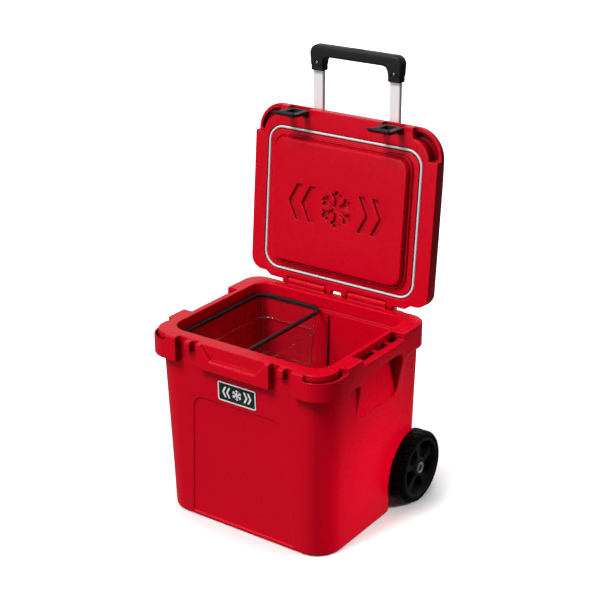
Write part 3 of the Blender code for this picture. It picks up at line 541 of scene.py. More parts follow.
def chamber():
    tall = LEDGE_Z - FLOOR_Z
    rings = []
    for up, inset in ((0, 0.012), (0.001, 0.007), (0.004, 0.003), (0.009, 0.0008), (0.014, 0), (tall, 0)):
        rings.append((FLOOR_Z + up, LEDGE + CHAMBER_DRAFT * (tall - up) + inset))
    rings += [(LEDGE_Z, 0.0), (RIM_Z - 0.0015, 0.0), (RIM_Z + 0.0005, -0.002), (RIM_Z + 0.02, -0.002)]
    out = []
    for z, narrow in rings:
        plan = rounded(
            -MOUTH_HALF + narrow, MOUTH_HALF - narrow, MOUTH_FRONT + narrow,
            MOUTH_REAR - narrow, max(MOUTH_CORNER - narrow, 0.012),
        )
        out.append([(x, y, z) for x, y in plan])
    return stack("chamber", out)


def arch_outline():
    return (
        [(WHEEL_Y + ARCH_R, -0.02)]
        + arc(WHEEL_Y, WHEEL_R, ARCH_R, 0, 180, 48)
        + [(WHEEL_Y - ARCH_R, -0.02)]
    )


def both(side, a, b):
    """Range from a to b on one side of the middle, in rising order."""
    return tuple(sorted((side * a, side * b)))


def badge_shape(name, grow, near, far, mat=None, w=BADGE_W / 2, h=BADGE_H / 2, r=0.005, at=(0, 0)):
    plan = rounded(at[0] - w - grow, at[0] + w + grow, at[1] - h - grow, at[1] + h + grow, r + grow, None, 8)
    face = FRONT_Y + FRONT_DRAFT * BADGE_Z
    return stack(name, [
        [(x, face + FRONT_DRAFT * z + off, BADGE_Z + z) for x, z in plan] for off in (near, far)
    ], mat)


def red_body():
    body = body_outer()
    hump = stack("hump", [
        [(x, y, z) for x, y in rounded(-w, w, 0.16, HUMP_REAR - inset, 0.005, 0.02)]
        for z, inset, w in (
            (0.026, 0.012, HUMP_HALF - 0.010), (0.034, 0.0, HUMP_HALF),
            (0.396, 0.0, HUMP_HALF), (0.404, 0.008, HUMP_HALF - 0.006),
        )
    ])
    join(body, hump)
    for side in (-1, 1):
        knuckle = arc(HINGE_Y, HINGE_Z, BARREL_R, -10, 190, 20)
        knuckle += [(HINGE_Y - BARREL_R, 0.42), (HINGE_Y + BARREL_R, 0.398)]
        join(body, prism("knuckle", knuckle, "x", *both(side, 0.031, 0.130)))
    cut(body, chamber())
    for side in (-1, 1):
        cut(body, prism("arch", arch_outline(), "x", *both(side, ARCH_X, 0.30)))
        x = both(side, BAY_X - BAY_HALF, BAY_X + BAY_HALF)
        cut(body, box("bay", x, (-0.25, RIM_FRONT + BAY_DEEP), (0.36, 0.45)))
        catch = [
            (RIM_FRONT + BAY_DEEP + 0.004, 0.397), (RIM_FRONT + BAY_DEEP + 0.004, 0.427),
            (RIM_FRONT + 0.005, 0.427), (RIM_FRONT + 0.003, 0.424), (RIM_FRONT + 0.003, 0.408),
        ]
        mid = side * 0.119
        join(body, prism("catch", catch, "x", mid - 0.0073, mid + 0.0073))
        for inner, outer, low in ((STRAP_IN, STRAP_OUT, STRAP_LOW), (STRAP_IN, 0.075, STRAP_Z)):
            plan = sector(STRAP_X, STRAP_Y, inner, outer, -92, 30)
            cut(body, prism("strap", [(side * x, y) for x, y in plan], "z", low, 0.45))
        cut(body, box("step", both(side, 0.2045, 0.26), (-0.078, 0.080), (0.4145, 0.45)))
        x = both(side, 0.2045, 0.2165)
        for start, end in ((-0.060, -0.006), (0.006, 0.044), (0.056, 0.0795)):
            cut(body, box("trough", x, (start, end), (0.398, 0.42)))
        hold = [
            (-0.080, 0.372), (-0.080, 0.311), (-0.066, 0.288), (0.064, 0.288), (0.080, 0.304),
            (0.080, 0.374), (0.066, 0.388), (-0.064, 0.388),
        ]
        cut(body, stack("hold", [
            [(side * (0.2160 - 0.145 * (z - 0.288)), y * 0.97, z) for y, z in hold],
            [(side * 0.26, y, z) for y, z in hold],
        ]))
    scoop = [(-0.080, 0.45), (-0.080, 0.428), (-0.058, 0.400)]
    scoop += [(-x, z) for x, z in reversed(scoop)]
    cut(body, prism("scoop", scoop, "y", -0.25, RIM_FRONT + 0.008))
    lip = [(-0.0835, 0.45), (-0.0835, 0.4275), (-0.0800, 0.4215)] + arc(-0.0560, 0.4015, 0.0055, 200, 270, 5)
    lip += [(-x, z) for x, z in reversed(lip)]
    cut(body, prism("lip", lip, "y", -0.25, RIM_FRONT + 0.0025))
    panel = [(-0.1345, 0.009), (0.1345, 0.009), (0.1185, 0.262)]
    panel += arc(0.0915, 0.271, 0.027, 10, 90, ARC)
    panel += arc(-0.0915, 0.271, 0.027, 90, 170, ARC) + [(-0.1185, 0.262)]
    cut(body, stack("panel", [
        [(x, -0.27, z) for x, z in panel],
        [(x, FRONT_Y + FRONT_DRAFT * z + 0.0025, z) for x, z in panel],
    ]))
    cut(body, badge_shape("seat", 0.0008, -0.01, 0.0012))
    cut(body, box("divider", (-0.0025, 0.0025), (-0.166, -0.116), (0.075, 0.392)))
    cut(body, box("divider", (-0.0025, 0.0025), (0.116, 0.1500), (0.075, 0.392)))
    cut(body, prism("bore", circle(WHEEL_Y, WHEEL_R, AXLE_R + 0.0006), "x", -0.21, 0.21))
    cut(body, prism("drain", circle(DRAIN_Y, DRAIN_Z, DRAIN_R + 0.0003), "x", -0.25, -0.10))
    cut(body, prism("pocket", circle(DRAIN_Y, DRAIN_Z, DRAIN_POCKET), "x", -0.25, -0.2045))
    for side in (-1, 1):
        plan = rounded(side * 0.14 - 0.0306, side * 0.14 + 0.0306, -0.1556, -0.1244, 0.006)
        cut(body, prism("foot", plan, "z", -0.01, 0.0042))
    return soften(body, 0.0012, 4, 200000)


dress(red_body(), RED, "body", "shell_red", "body_shell").name = "cooler_body"


# ------------------------------------------------------------------ lid
def lid_top(y):
    return LID_PLANE + LID_THICK - LID_SLOPE * smoothstep((-0.10 - y) / 0.12)


def lid_outline(inset):
    right = arc(LID_HALF - LID_CORNER, LID_FRONT + LID_CORNER, LID_CORNER - inset, -90, 0, 20)
    right += [(LID_HALF - inset, -0.16 + 0.02 * k) for k in range(1, 15)]
    right += arc(LID_HALF - 0.030, LID_REAR_CORNER - 0.030, 0.030 - inset, 0, 90, 12)
    rear = LID_REAR - inset
    right += [(0.192, LID_REAR_CORNER - inset), (0.178 - 0.4 * inset, rear), (0.100, rear)]
    return right + [(-x, y) for x, y in reversed(right)]


MARK_Y = (PLUG_FRONT + PLUG_REAR) / 2 - 0.002
MARK_DEEP = 0.0055
STROKE_LONG, STROKE_WIDE = 0.0805, 0.0095
TWIG_LONG, TWIG_WIDE, TWIG_AT, TWIG_OFF, TWIG_BEND = 0.0165, 0.0060, 0.0245, 0.0070, 52
CHEVRON_TALL, CHEVRON_WIDE, CHEVRON_LEAN = 0.0400, 0.0150, 0.0200


def motif():
    """Outlines of the mark about its middle: a snowflake between pairs of chevrons."""
    strokes = [(STROKE_LONG, STROKE_WIDE, turn, 0.0, 0.0) for turn in (30, 90, 150)]
    for turn in range(30, 390, 60):
        x, y = toward(turn, TWIG_AT)
        for away in (turn - TWIG_BEND, turn + TWIG_BEND):
            dx, dy = toward(away, TWIG_OFF)
            strokes.append((TWIG_LONG, TWIG_WIDE, away, x + dx, y + dy))
    out = []
    for long, wide, turn, x, y in strokes:
        c, s = math.cos(math.radians(turn)), math.sin(math.radians(turn))
        plan = rounded(-long / 2, long / 2, -wide / 2, wide / 2, 0.0015, None, 3)
        out.append([(x + a * c - b * s, y + a * s + b * c) for a, b in plan])
    for side in (-1, 1):
        for x in (0.0560, 0.0900):
            back, front = x + CHEVRON_WIDE, x + CHEVRON_WIDE + CHEVRON_LEAN
            arrow = [(x, CHEVRON_TALL), (back, CHEVRON_TALL), (front, 0.0), (back, -CHEVRON_TALL)]
            arrow += [(x, -CHEVRON_TALL), (x + CHEVRON_LEAN, 0.0)]
            out.append([(side * a, b) for a, b in arrow])
    return out


def red_lid():
    rings = []
    for up, inset in ((0.0, 0.0015), (0.0006, 0.0005), (0.0015, 0.0)):
        rings.append([(x, y, LID_PLANE + up) for x, y in lid_outline(inset)])
    for down, inset in (
        (0.0095, 0), (0.0062, 0.0006), (0.0036, 0.0021), (0.0016, 0.0046), (0.0004, 0.0074), (0, 0.011),
    ):
        rings.append([(x, y, lid_top(y) - down) for x, y in lid_outline(inset)])
    lid = stack("lid", rings)
    plug = []
    for z, inset in (
        (0.006, 0.0), (0.0, 0.0), (-0.0046, 0.0006), (-0.0058, 0.0018), (-0.0058, 0.0032),
        (-0.0034, 0.0044), (-0.0034, 0.0058), (-PLUG_DEEP + 0.0026, 0.0080),
        (-PLUG_DEEP + 0.0006, 0.0092), (-PLUG_DEEP, 0.0112),
    ):
        plan = rounded(
            -PLUG_HALF + inset, PLUG_HALF - inset, PLUG_FRONT + inset, PLUG_REAR - inset, 0.030 - inset * 0.4
        )
        plug.append([(x, y, LID_PLANE + z) for x, y in plan])
    join(lid, stack("plug", plug))
    for at in (0.0195, 0.139):
        for side in (-1, 1):
            mid = side * at
            lug = arc(HINGE_Y, HINGE_Z, BARREL_R, -90, 90, 20)
            lug += [(HINGE_Y - 0.02, HINGE_Z + BARREL_R), (HINGE_Y - 0.02, HINGE_Z - BARREL_R)]
            join(lid, prism("lug", lug, "x", mid - 0.006, mid + 0.006))
    for side in (-1, 1):
        cut(lid, box("gap", both(side, 0.0290, 0.1325), (HINGE_Y - 0.0105, 0.25), (0.40, 0.50)))
        x = both(side, LATCH_X - 0.0268, LATCH_X + 0.0268)
        cut(lid, box("gap", x, (-0.25, -0.2030), (0.40, 0.4475)))
        for outer, high in ((CHANNEL_OUT[2], LID_PLANE + 0.0255), (0.11, LID_PLANE + 0.014)):
            plan = arc(*CHANNEL_OUT[:2], outer, -96, 0, 24) + arc(*CHANNEL_IN, -2, -84, 24)
            cut(lid, prism("slot", [(side * x, y) for x, y in plan], "z", 0.40, high))
        spot = circle(side * 0.208, 0.143, 0.012, 40)
        inner = circle(side * 0.208, 0.143, 0.0108, 40)
        cut(lid, ring_solid("spot", [
            [(x, y, LID_PLANE - 0.01) for x, y in spot], [(x, y, LID_PLANE + 0.0007) for x, y in spot],
            [(x, y, LID_PLANE + 0.0007) for x, y in inner], [(x, y, LID_PLANE - 0.01) for x, y in inner],
        ]))
    cut(lid, gasket_ring("groove", GROOVE_HALF, LID_PLANE - 0.004, LID_PLANE + 0.005))
    for stroke in motif():
        plan = [(x, MARK_Y + y) for x, y in stroke]
        cut(lid, prism("mark", plan, "z", LID_PLANE - PLUG_DEEP - 0.01, LID_PLANE - PLUG_DEEP + MARK_DEEP))
    soften(lid, 0.0010, 4, 180000)
    return move(lid, LID_TURN)


def gasket_loop(grow):
    return rounded(
        -GASKET_HALF - grow, GASKET_HALF + grow, GASKET_FRONT - grow, GASKET_REAR + grow, GASKET_CORNER + grow
    )


def gasket_ring(name, half, low, high):
    return ring_solid(name, [
        [(x, y, z) for x, y in gasket_loop(grow)]
        for grow, z in ((half, low), (half, high), (-half, high), (-half, low))
    ])


def bead(name, half, middle, tall):
    """Round-backed bead that runs round the lid."""
    loops = []
    for k in range(14):
        turn = 2 * math.pi * k / 14
        z = middle + tall * math.sin(turn)
        loops.append([(x, y, z) for x, y in gasket_loop(half * math.cos(turn))])
    return ring_solid(name, loops)


dress(red_lid(), RED, "lid", "shell_red", "lid_shell").name = "cooler_lid"
seal = move(bead("lid_seal", SEAL_HALF, LID_PLANE + SEAL_TALL, SEAL_TALL), LID_TURN)
dress(seal, GASKET, "lid", "gasket_grey", "lid_gasket")


# ------------------------------------------------------------------ latches
def latch(side):
    mid = side * LATCH_X
    half = LATCH_WIDE / 2
    profile = arc(0, 0, 0.0042, 0, 180, 16)
    profile += [(-0.0042, -0.010), (-0.0022, -LATCH_LONG + 0.012)]
    profile += [(-0.0072, -LATCH_LONG), (-0.0030, -LATCH_LONG - 0.001)]
    profile += [(0.0044, -LATCH_LONG + 0.010), (0.0044, -0.010)]
    plan = [(LATCH_Y + y, LATCH_Z + z) for y, z in profile]
    obj = prism("latch", plan, "x", mid - half, mid + half)
    for start in (-0.0260, 0.0180):
        y, z = (LATCH_Y + 0.0030, LATCH_Y + 0.0105), (LATCH_Z - 0.0160, LATCH_Z - 0.0060)
        join(obj, box("cheek", (mid + start, mid + start + 0.0080), y, z))
    y, z = (LATCH_Y - 0.03, LATCH_Y + 0.03), (LATCH_Z - 0.0395, LATCH_Z - 0.0065)
    cut(obj, box("window", (mid - 0.0125, mid + 0.0125), y, z))
    for k in range(3):
        at = LATCH_Z - 0.046 - 0.0045 * k
        y = (LATCH_Y - 0.0042, LATCH_Y - 0.0025)
        join(obj, box("rib", (mid - 0.018, mid + 0.018), y, (at - 0.001, at + 0.001)))
    soften(obj, 0.0007, 3, 24000)
    return move(obj, LID_TURN)


for side, tag in ((-1, "left"), (1, "right")):
    dress(latch(side), RUBBER, "latch_" + tag, "rubber_black", "latch_" + tag).name = "rubber_latch_" + tag


# ------------------------------------------------------------------ badge
BADGE_BACK, PRINT_SCALE = 0.0009, 0.30

badge = badge_shape("badge", 0.0, BADGE_BACK - BADGE_T, BADGE_BACK)
bevel(badge, 0.0005, 2)
dress(badge, FIELD, "body", "badge_ink", "badge_plate").name = "badge_field"


def badge_print():
    """White border and mark that stand a little proud of the dark field."""
    near, far = BADGE_BACK - BADGE_T - 0.0004, BADGE_BACK - BADGE_T + 0.0006
    rim = badge_shape("rim", -0.0002, near, far)
    cut(rim, badge_shape("hole", -0.0030, near - 0.01, far + 0.01))
    parts = [rim]
    face = FRONT_Y + FRONT_DRAFT * BADGE_Z
    for plan in motif():
        flat = [(x * PRINT_SCALE, -y * PRINT_SCALE) for x, y in plan]
        rings = [[(x, face + FRONT_DRAFT * z + off, BADGE_Z + z) for x, z in flat] for off in (near, far)]
        parts.append(stack("mark", rings))
    return parts


marks = badge_print()
for mark in marks:
    mark.data.materials.append(PRINT)
dress(merge("badge_print", marks), PRINT, "body", "badge_ink")


# ------------------------------------------------------------------ wheels
TREAD_FROM, TREAD_TO = 2, 32
TREAD_DEEP, TREAD_BLOCKS = 0.0028, 26


def tread(angle, k, at):
    """Depth of the shallow block pattern at one place of the tyre."""
    if not TREAD_FROM < k < TREAD_TO:
        return 0.0
    across = abs(at) / (WHEEL_OUT - WHEEL_IN) - 0.5
    slant = angle * TREAD_BLOCKS / (2 * math.pi) + 0.9 * abs(across)
    gap = abs((slant % 1.0) - 0.5)
    groove = smoothstep((gap - 0.40) / 0.06)
    middle = smoothstep((0.07 - abs(across)) / 0.03)
    return TREAD_DEEP * max(groove, 0.6 * middle)


def wheel(side, tag):
    wide = WHEEL_OUT - WHEEL_IN
    at = (side * WHEEL_IN, WHEEL_Y, WHEEL_R)
    rows = [
        (0.0694, 0.0002), (0.0740, 0.0), (0.0765, 0.0004),
        (0.0785, 0.0016), (0.0805, 0.0040), (0.0820, 0.0068),
    ]
    tyre = rows + [(WHEEL_R, 0.0085 + (wide - 0.017) * k / 22) for k in range(23)]
    tyre += [(r, wide - x) for r, x in reversed(rows[1:])]
    tyre += [
        (0.0748, wide + 0.0), (0.0738, wide - 0.0012), (0.0726, wide - 0.0002),
        (0.0700, wide - 0.0006), (0.0694, wide - 0.0012),
    ]
    around = TREAD_BLOCKS * (12 if FINE else 4)
    obj = turned("tyre", [(r, side * x) for r, x in tyre], "x", at, None, around, tread, 50)
    dress(obj, TYRE, "wheel_" + tag, "tyre_black", "tyre_" + tag).name = "tread_tyre_" + tag

    rim = [
        (0.0066, 0.0005), (0.0690, 0.0005), (0.0690, wide - 0.0010), (0.0672, wide - 0.0002),
        (0.0640, wide - 0.0004), (0.0622, wide - 0.0030), (0.0600, wide - 0.0100), (0.0560, wide - 0.0108),
        (0.0230, wide - 0.0085), (0.0200, wide - 0.0050), (0.0185, wide - 0.0043),
        (0.0136, wide - 0.0043), (0.0132, wide - 0.0050), (0.0132, wide - 0.0090), (0.0066, wide - 0.0090),
    ]
    disc = turned("disc", [(r, side * x) for r, x in rim], "x", at, None, 96)
    for k in range(5):
        mid = 90 + 72 * k
        spots = [(0.0240, 14), (0.0330, 11.5), (0.0450, 10), (0.0520, 11), (0.0575, 14)]
        edge = [(r, mid + a) for r, a in spots]
        edge += [(0.0592, mid + 18 + 6 * j) for j in range(7)]
        edge += [(r, mid + 72 - a) for r, a in reversed(spots)]
        edge += [(0.0232, mid + 50 - 7 * j) for j in range(5)]
        window = [(WHEEL_Y + y, WHEEL_R + z) for y, z in (toward(a, r) for r, a in edge)]
        cut(disc, prism("window", window, "x", *both(side, WHEEL_IN + 0.012, 0.30)))
    bevel(disc, 0.0009, 2, 40)
    dress(disc, RIM_PLASTIC, "wheel_" + tag, "plastic_black", "wheel_rim_" + tag).name = "spoked_rim_" + tag

    low = (side * (WHEEL_IN + wide - 0.0087), WHEEL_Y, WHEEL_R)
    cap = [
        (0.0078, 0.0), (0.0129, 0.0), (0.0129, 0.0052), (0.0126, 0.0064), (0.0118, 0.0073),
        (0.0106, 0.0076), (0.0094, 0.0073), (0.0086, 0.0063), (0.0080, 0.0050), (0.0078, 0.0040),
    ]
    obj = turned("cap", [(r, side * x) for r, x in cap], "x", low, None, 64)
    dress(obj, CHROME, "wheel_" + tag, "cap_silver", "axle_cap_" + tag).name = "cap_ring_" + tag
    core = [
        (0.0, 0.0004), (0.0075, 0.0004), (0.0075, 0.0032), (0.0068, 0.0044), (0.0045, 0.0052), (0.0, 0.0055),
    ]
    obj = turned("core", [(r, side * x) for r, x in core], "x", low, None, 48)
    dress(obj, DARK, "wheel_" + tag, "cap_silver").name = "cap_middle_" + tag


for side, tag in ((-1, "left"), (1, "right")):
    wheel(side, tag)


# ------------------------------------------------------------------ handle
POST_WALL = 0.0014


def tube(name, w, d, low, high, mid):
    """Rounded rectangular tube with softened ends."""
    loops = []
    w, d = w / 2, d / 2
    for grow, z in (
        (0, low + 0.0004), (0, high - 0.0004), (-0.0003, high), (0.0002 - POST_WALL, high),
        (-POST_WALL, high - 0.0004), (-POST_WALL, low + 0.0004), (0.0002 - POST_WALL, low), (-0.0003, low),
    ):
        x, y, r = w + grow, d + grow, 0.003 + grow * 0.6
        plan = rounded(mid - x, mid + x, POST_Y - y, POST_Y + y, r, None, 6)
        loops.append([(x, y, z) for x, y in plan])
    obj = ring_solid(name, loops)
    obj.data.shade_flat()
    return obj


def slab(name, w, d, low, high, mid, r=0.003, y=POST_Y):
    plan = rounded(mid - w / 2, mid + w / 2, y - d / 2, y + d / 2, r, None, 6)
    return prism(name, plan, "z", low, high)


for side, tag in ((-1, "left"), (1, "right")):
    mid = side * POST_X
    post = tube("post", 0.0260, 0.0106, 0.620, 0.9518, mid)
    cut(post, prism("bore", circle(mid, SCREW_Z, 0.0023, 20), "y", 0.20, 0.30))
    dress(post, POST, "handle_inner", "alloy", "inner_post_" + tag).name = "post_upper_" + tag
    middle = tube("middle", 0.0294, 0.0140, 0.335, 0.6845, mid)
    dress(middle, POST, "handle_middle", "alloy", "middle_tube_" + tag).name = "post_middle_" + tag
    outer = tube("outer", 0.0328, 0.0174, 0.039, 0.3942, mid)
    dress(outer, POST, "body", "alloy", "outer_tube_" + tag).name = "post_lower_" + tag
    collar = slab("collar", 0.0344, 0.0185, 0.6848, 0.6990, mid)
    cut(collar, slab("hole", 0.0266, 0.0112, 0.67, 0.72, mid))
    bevel(collar, 0.0012, 3)
    dress(collar, NYLON, "handle_middle", "plastic_black", "tube_collar_" + tag).name = "post_collar_" + tag

for name, z, socket in (
    ("bracket_top", (0.360, 0.394), (0.35, 0.41)), ("bracket_bottom", (0.030, 0.066), (0.0385, 0.08)),
):
    plate = prism(name, rounded(-0.128, 0.128, 0.2295, 0.2590, 0.004, 0.008, 6), "z", *z)
    for side in (-1, 1):
        cut(plate, slab("socket", 0.0334, 0.0180, *socket, side * POST_X))
    for x in (-0.055, -0.018, 0.018, 0.055):
        mid_z = (z[0] + z[1]) / 2
        rib = box("rib", (x - 0.014, x + 0.014), (0.2560, 0.27), (mid_z - 0.011, mid_z + 0.011))
        cut(plate, rib)
    bevel(plate, 0.0014, 3)
    dress(plate, NYLON, "body", "plastic_black", name).name = "frame_" + name


def grip():
    outline = [(-0.1144, 0.9245), (-0.0804, 0.9245), (-0.0804, 0.932)]
    outline += [(-0.0792, 0.9375), (-0.0755, 0.9435), (-0.068, 0.9457)]
    outline += [(-x, z) for x, z in reversed(outline)]
    shoulder = arc(0.0974, 0.9520, 0.0190, 0, 90, 12)
    outline += shoulder + [(-x, z) for x, z in reversed(shoulder)]
    obj = prism("grip", outline, "y", POST_Y - 0.0120, POST_Y + 0.0130)
    bevel(obj, 0.0055, 5, 50)
    for side in (-1, 1):
        mid = side * POST_X
        join(obj, slab("sleeve", 0.0310, 0.0220, 0.9145, 0.9320, mid, 0.003, POST_Y + 0.0005))
        join(obj, slab("rib", 0.0376, 0.0080, 0.9250, 0.9280, mid, 0.002, POST_Y + 0.0005))
        cut(obj, slab("socket", 0.0266, 0.0112, 0.90, 0.9525, mid))
        cut(obj, prism("seat", circle(mid, SCREW_Z, 0.0046, 32), "y", 0.20, POST_Y - 0.0095))
    for y in (POST_Y - 0.0078, POST_Y + 0.0088):
        cut(obj, box("seam", (-0.092, 0.092), (y - 0.0005, y + 0.0005), (0.9697, 0.99)))
    cut(obj, box("well", (-0.0165, 0.0165), (POST_Y - 0.0060, POST_Y + 0.0070), (0.9550, 0.99)))
    return soften(obj, 0.0006, 2, 60000)


dress(grip(), NYLON, "handle_inner", "plastic_black", "grip_body").name = "pull_grip"
button = slab("button", 0.032, 0.012, 0.9590, 0.9715, 0.0, 0.003, POST_Y + 0.0005)
for k in range(5):
    x = (k - 2) * 0.005
    cut(button, box("ridge", (x - 0.0006, x + 0.0006), (0.235, 0.26), (0.9710, 0.98)))
bevel(button, 0.0008, 3)
dress(button, RUBBER, "button", "plastic_black", "lock_button").name = "release_button"

for side, tag in ((-1, "left"), (1, "right")):
    mid = side * POST_X
    head = [
        (0.0, 0.0002), (0.0010, 0.0), (0.0019, 0.0001), (0.0025, 0.0005), (0.0028, 0.0010),
        (0.0028, 0.0019), (0.0020, 0.0019), (0.0020, 0.0200), (0.0, 0.0200),
    ]
    screw = turned("screw", head, "y", (mid, POST_Y - 0.0117, SCREW_Z), None, 40)
    cut(screw, prism("drive", circle(mid, SCREW_Z, 0.0014, 6), "y", 0.2, POST_Y - 0.0107))
    dress(screw, SCREW, "handle_inner", "steel", "grip_screw_" + tag).name = "handle_screw_" + tag


# ------------------------------------------------------------------ lift-out bin
def bin_loop(z, inset):
    """Plan of the bin at one height, narrowed by its draft and an inset."""
    narrow = inset + 0.045 * (LEDGE_Z - z)
    plan = rounded(
        BIN_LEFT + narrow, BIN_RIGHT - narrow, BIN_FRONT + narrow, BIN_REAR - narrow,
        max(BIN_CORNER - inset, 0.01),
    )
    return [(x, y, z) for x, y in plan]


def bin_skin(name, wall, top):
    """Outer or inner surface of the bin, with a rounded foot."""
    foot = ((0.0, 0.010), (0.001, 0.006), (0.004, 0.002), (0.010, 0.0))
    rings = [bin_loop(BIN_FLOOR + wall + up, inset + wall) for up, inset in foot]
    return stack(name, rings + [bin_loop(top, wall)])


def bin_tray():
    tray = bin_skin("tray", 0.0, LEDGE_Z)
    cut(tray, bin_skin("hollow", BIN_WALL, LEDGE_Z + 0.01))
    bevel(tray, 0.0006, 2, 40)
    return tray


def clear_bead(z, inset, size):
    """Small rounded bead that follows the bin's plan at one height."""
    loops = []
    for k in range(8):
        turn = 2 * math.pi * k / 8
        plan = bin_loop(z, inset + size * math.cos(turn))
        loops.append([(x, y, z + size * math.sin(turn)) for x, y, _ in plan])
    bead_ring = ring_solid("bead", loops)
    bead_ring.data.materials.append(CLEAR_EDGE)
    return bead_ring


def corner_bead(x_at, y_at):
    """Upright bead in one corner of the bin."""
    rows = []
    for z in (BIN_FLOOR + 0.006, LEDGE_Z - 0.012):
        narrow = 0.045 * (LEDGE_Z - z) + BIN_WALL + 0.0088
        cx = (BIN_LEFT + narrow) if x_at < 0 else (BIN_RIGHT - narrow)
        cy = (BIN_FRONT + narrow) if y_at < 0 else (BIN_REAR - narrow)
        rows.append([(x, y, z) for x, y in circle(cx, cy, 0.0010, 8)])
    post = stack("bead", rows)
    post.data.materials.append(CLEAR_EDGE)
    return post


dress(bin_tray(), CLEAR, "bin", "bin_clear", "bin_tray").name = "clear_bin"
beads = [
    clear_bead(BIN_FLOOR + 0.0046, BIN_WALL + 0.0040, 0.0009),
    clear_bead(BIN_FLOOR + 0.0034, 0.0240, 0.0008),
    clear_bead(BIN_FLOOR + 0.0900, BIN_WALL + 0.0006, 0.0009),
]
beads += [corner_bead(x, y) for x in (-1, 1) for y in (-1, 1)]
dress(merge("clear_beads", beads), CLEAR_EDGE, "bin", "bin_clear")
loops = []
for k in range(16):
    turn = 2 * math.pi * k / 16
    grow = 0.0011 + 0.0045 * max(-1, min(1, 1.15 * math.cos(turn)))
    z = LEDGE_Z + 0.0043 + 0.0040 * max(-1, min(1, 1.15 * math.sin(turn)))
    plan = rounded(BIN_LEFT - grow, BIN_RIGHT + grow, BIN_FRONT - grow, BIN_REAR + grow, 0.028 + grow)
    loops.append([(x, y, z) for x, y in plan])
dress(ring_solid("bin_edge", loops), RUBBER, "bin", "rubber_black", "bin_rim")

# ------------------------------------------------------------------ drain plug
outer = (-0.2146, DRAIN_Y, DRAIN_Z)
knob = turned("knob", [
    (0.0, 0.0006), (0.0165, 0.0006), (0.0178, 0.0010), (0.0185, 0.0022), (0.0185, 0.0072), (0.0178, 0.0080),
    (DRAIN_R - 0.0003, 0.0080), (DRAIN_R - 0.0003, 0.0262), (0.0, 0.0262),
], "x", outer, None, 64)
for side in (-1, 1):
    y = tuple(DRAIN_Y + v for v in both(side, 0.0035, 0.020))
    cut(knob, box("notch", (-0.22, -0.2104), y, (DRAIN_Z - 0.012, DRAIN_Z + 0.012)))
bevel(knob, 0.0008, 2)
dress(knob, NYLON, "drain", "plastic_black", "drain_plug").name = "drain_knob"

# ------------------------------------------------------------------ carried-over nodes
KEEP = {
    "body_insulation": (FOAM, "foam_cream"), "lid_insulation": (FOAM, "foam_cream"),
    "foam_port_plug": (NYLON, "plastic_black"), "lid_port_plug": (RED, "shell_red"),
    "drain_seal": (GASKET, "gasket_grey"), "foot_pad_left": (RUBBER, "rubber_black"),
    "foot_pad_right": (RUBBER, "rubber_black"), "hinge_rod_left": (STEEL, "steel"),
    "hinge_rod_right": (STEEL, "steel"), "axle": (STEEL, "steel"),
    "axle_washer_left": (STEEL, "steel"), "axle_washer_right": (STEEL, "steel"),
    "latch_pin_left": (STEEL, "steel"), "latch_pin_right": (STEEL, "steel"),
}
for name, (mat, slot) in KEEP.items():
    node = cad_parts[name]
    node.data.materials.clear()
    node.data.materials.append(mat)

# ------------------------------------------------------------------ stage
bpy.ops.mesh.primitive_plane_add(size=80, location=(0, 0, -0.0004))
floor = bpy.context.object
floor.name = "studio_floor"
ground = Nodes("pale_floor")
ground.link(
    ground.mix(ground.ramp(ground.noise(2.0), 0, 1), (0.90, 0.90, 0.90, 1), (0.88, 0.88, 0.88, 1)),
    ground.shader.inputs["Base Color"],
)
ground.shader.inputs["Roughness"].default_value = 0.9
ground.shader.inputs["Specular IOR Level"].default_value = 0.0
ground.shader.inputs["Emission Color"].default_value = (1, 1, 1, 1)
# the floor glows evenly white; a painted contact shadow turns its glow down where the cooler stands close to
# it
near = ground.add("ShaderNodeAmbientOcclusion", {"Distance": 0.16}, samples=12).outputs["AO"]
ground.link(ground.ramp(near, 0.0, 0.82, (0.58, 0.99)), ground.shader.inputs["Emission Strength"])
floor.data.materials.append(ground.mat)
floor.visible_diffuse = False
floor.visible_glossy = False


SKY_FRONT, SKY_REAR, SKY_RIGHT = 0.26, 0.70, 0.10
BELOW_LEFT, BELOW_RIGHT = 0.16, 0.05


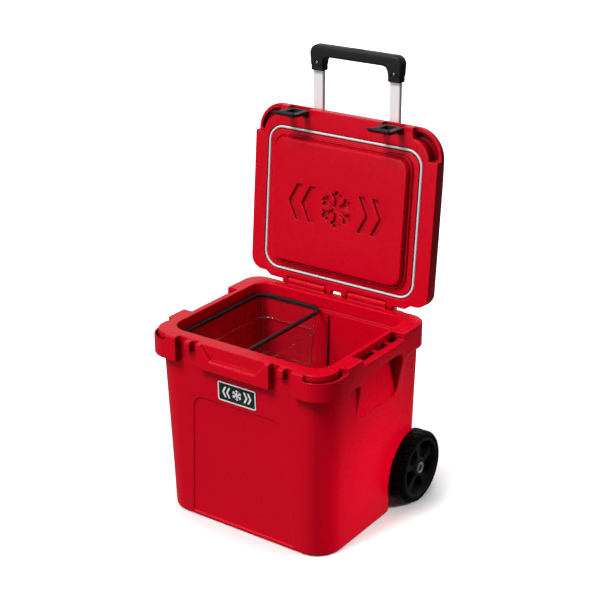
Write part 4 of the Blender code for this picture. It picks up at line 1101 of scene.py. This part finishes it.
def surround():
    """Soft studio: brightest behind the cooler, dim in front and below, dark on the right."""
    world = bpy.data.worlds.new("studio")
    bpy.context.scene.world = world
    world.use_nodes = True
    tree = world.node_tree

    def node(kind, values, **settings):
        new = tree.nodes.new(kind)
        for key, value in settings.items():
            setattr(new, key, value)
        for key, value in values.items():
            if isinstance(value, bpy.types.NodeSocket):
                tree.links.new(value, new.inputs[key])
            else:
                new.inputs[key].default_value = value
        return new

    way = node("ShaderNodeTexCoord", {}).outputs["Generated"]
    split = node("ShaderNodeSeparateXYZ", {0: way})

    def share(value, low, high):
        step = node("ShaderNodeMapRange", {"Value": value, "From Min": low, "From Max": high})
        step.interpolation_type = "SMOOTHSTEP"
        return step.outputs["Result"]

    def blend(fac, a, b):
        step = node("ShaderNodeMix", {0: fac, 2: a, 3: b})
        return step.outputs[0]

    right = share(split.outputs["X"], 0.05, 0.65)
    up = share(split.outputs["Z"], -0.05, 0.10)
    behind = share(split.outputs["Y"], 0.0, 0.6)
    above = blend(right, blend(behind, SKY_FRONT, SKY_REAR), SKY_RIGHT)
    below = blend(right, BELOW_LEFT, BELOW_RIGHT)
    level = blend(up, below, above)
    back = tree.nodes["Background"]
    back.inputs["Color"].default_value = (1, 1, 1, 1)
    tree.links.new(level, back.inputs["Strength"])


surround()


def lamp(name, kind, at, aim, power, **settings):
    data = bpy.data.lights.new(name, kind)
    data.energy = power
    for key, value in settings.items():
        setattr(data, key, value)
    obj = bpy.data.objects.new(name, data)
    bpy.context.scene.collection.objects.link(obj)
    obj.location = at
    obj.rotation_euler = (Vector(aim) - Vector(at)).to_track_quat("-Z", "Y").to_euler()
    return obj


CAMERA_AT, CAMERA_AIM, LENS = (1.6278, -2.2922, 1.6265), (0.0295, -0.0096, 0.4887), 85.86

lamp("key", "SUN", (-0.85, -2.2, 3.3), (0, 0, 0), 2.85, angle=math.radians(22))
lamp("front", "SUN", (-1.0, -3.0, 0.7), (0, 0, 0), 0.75, angle=math.radians(40))
side_lamp = lamp("right", "AREA", (1.40, 0.50, 0.80), (0.23, -0.03, 0.12), 0.8,
                 shape="DISK", size=0.35, spread=math.radians(26))
side_lamp.visible_glossy = False

data = bpy.data.cameras.new("camera")
camera = bpy.data.objects.new("camera", data)
bpy.context.scene.collection.objects.link(camera)
camera.location = CAMERA_AT
camera.rotation_euler = (Vector(CAMERA_AIM) - camera.location).to_track_quat("-Z", "Y").to_euler()
data.sensor_width, data.lens = 36.0, LENS
data.clip_start, data.clip_end = 0.05, 100
bpy.context.scene.camera = camera
bpy.context.scene.view_settings.view_transform = "Standard"
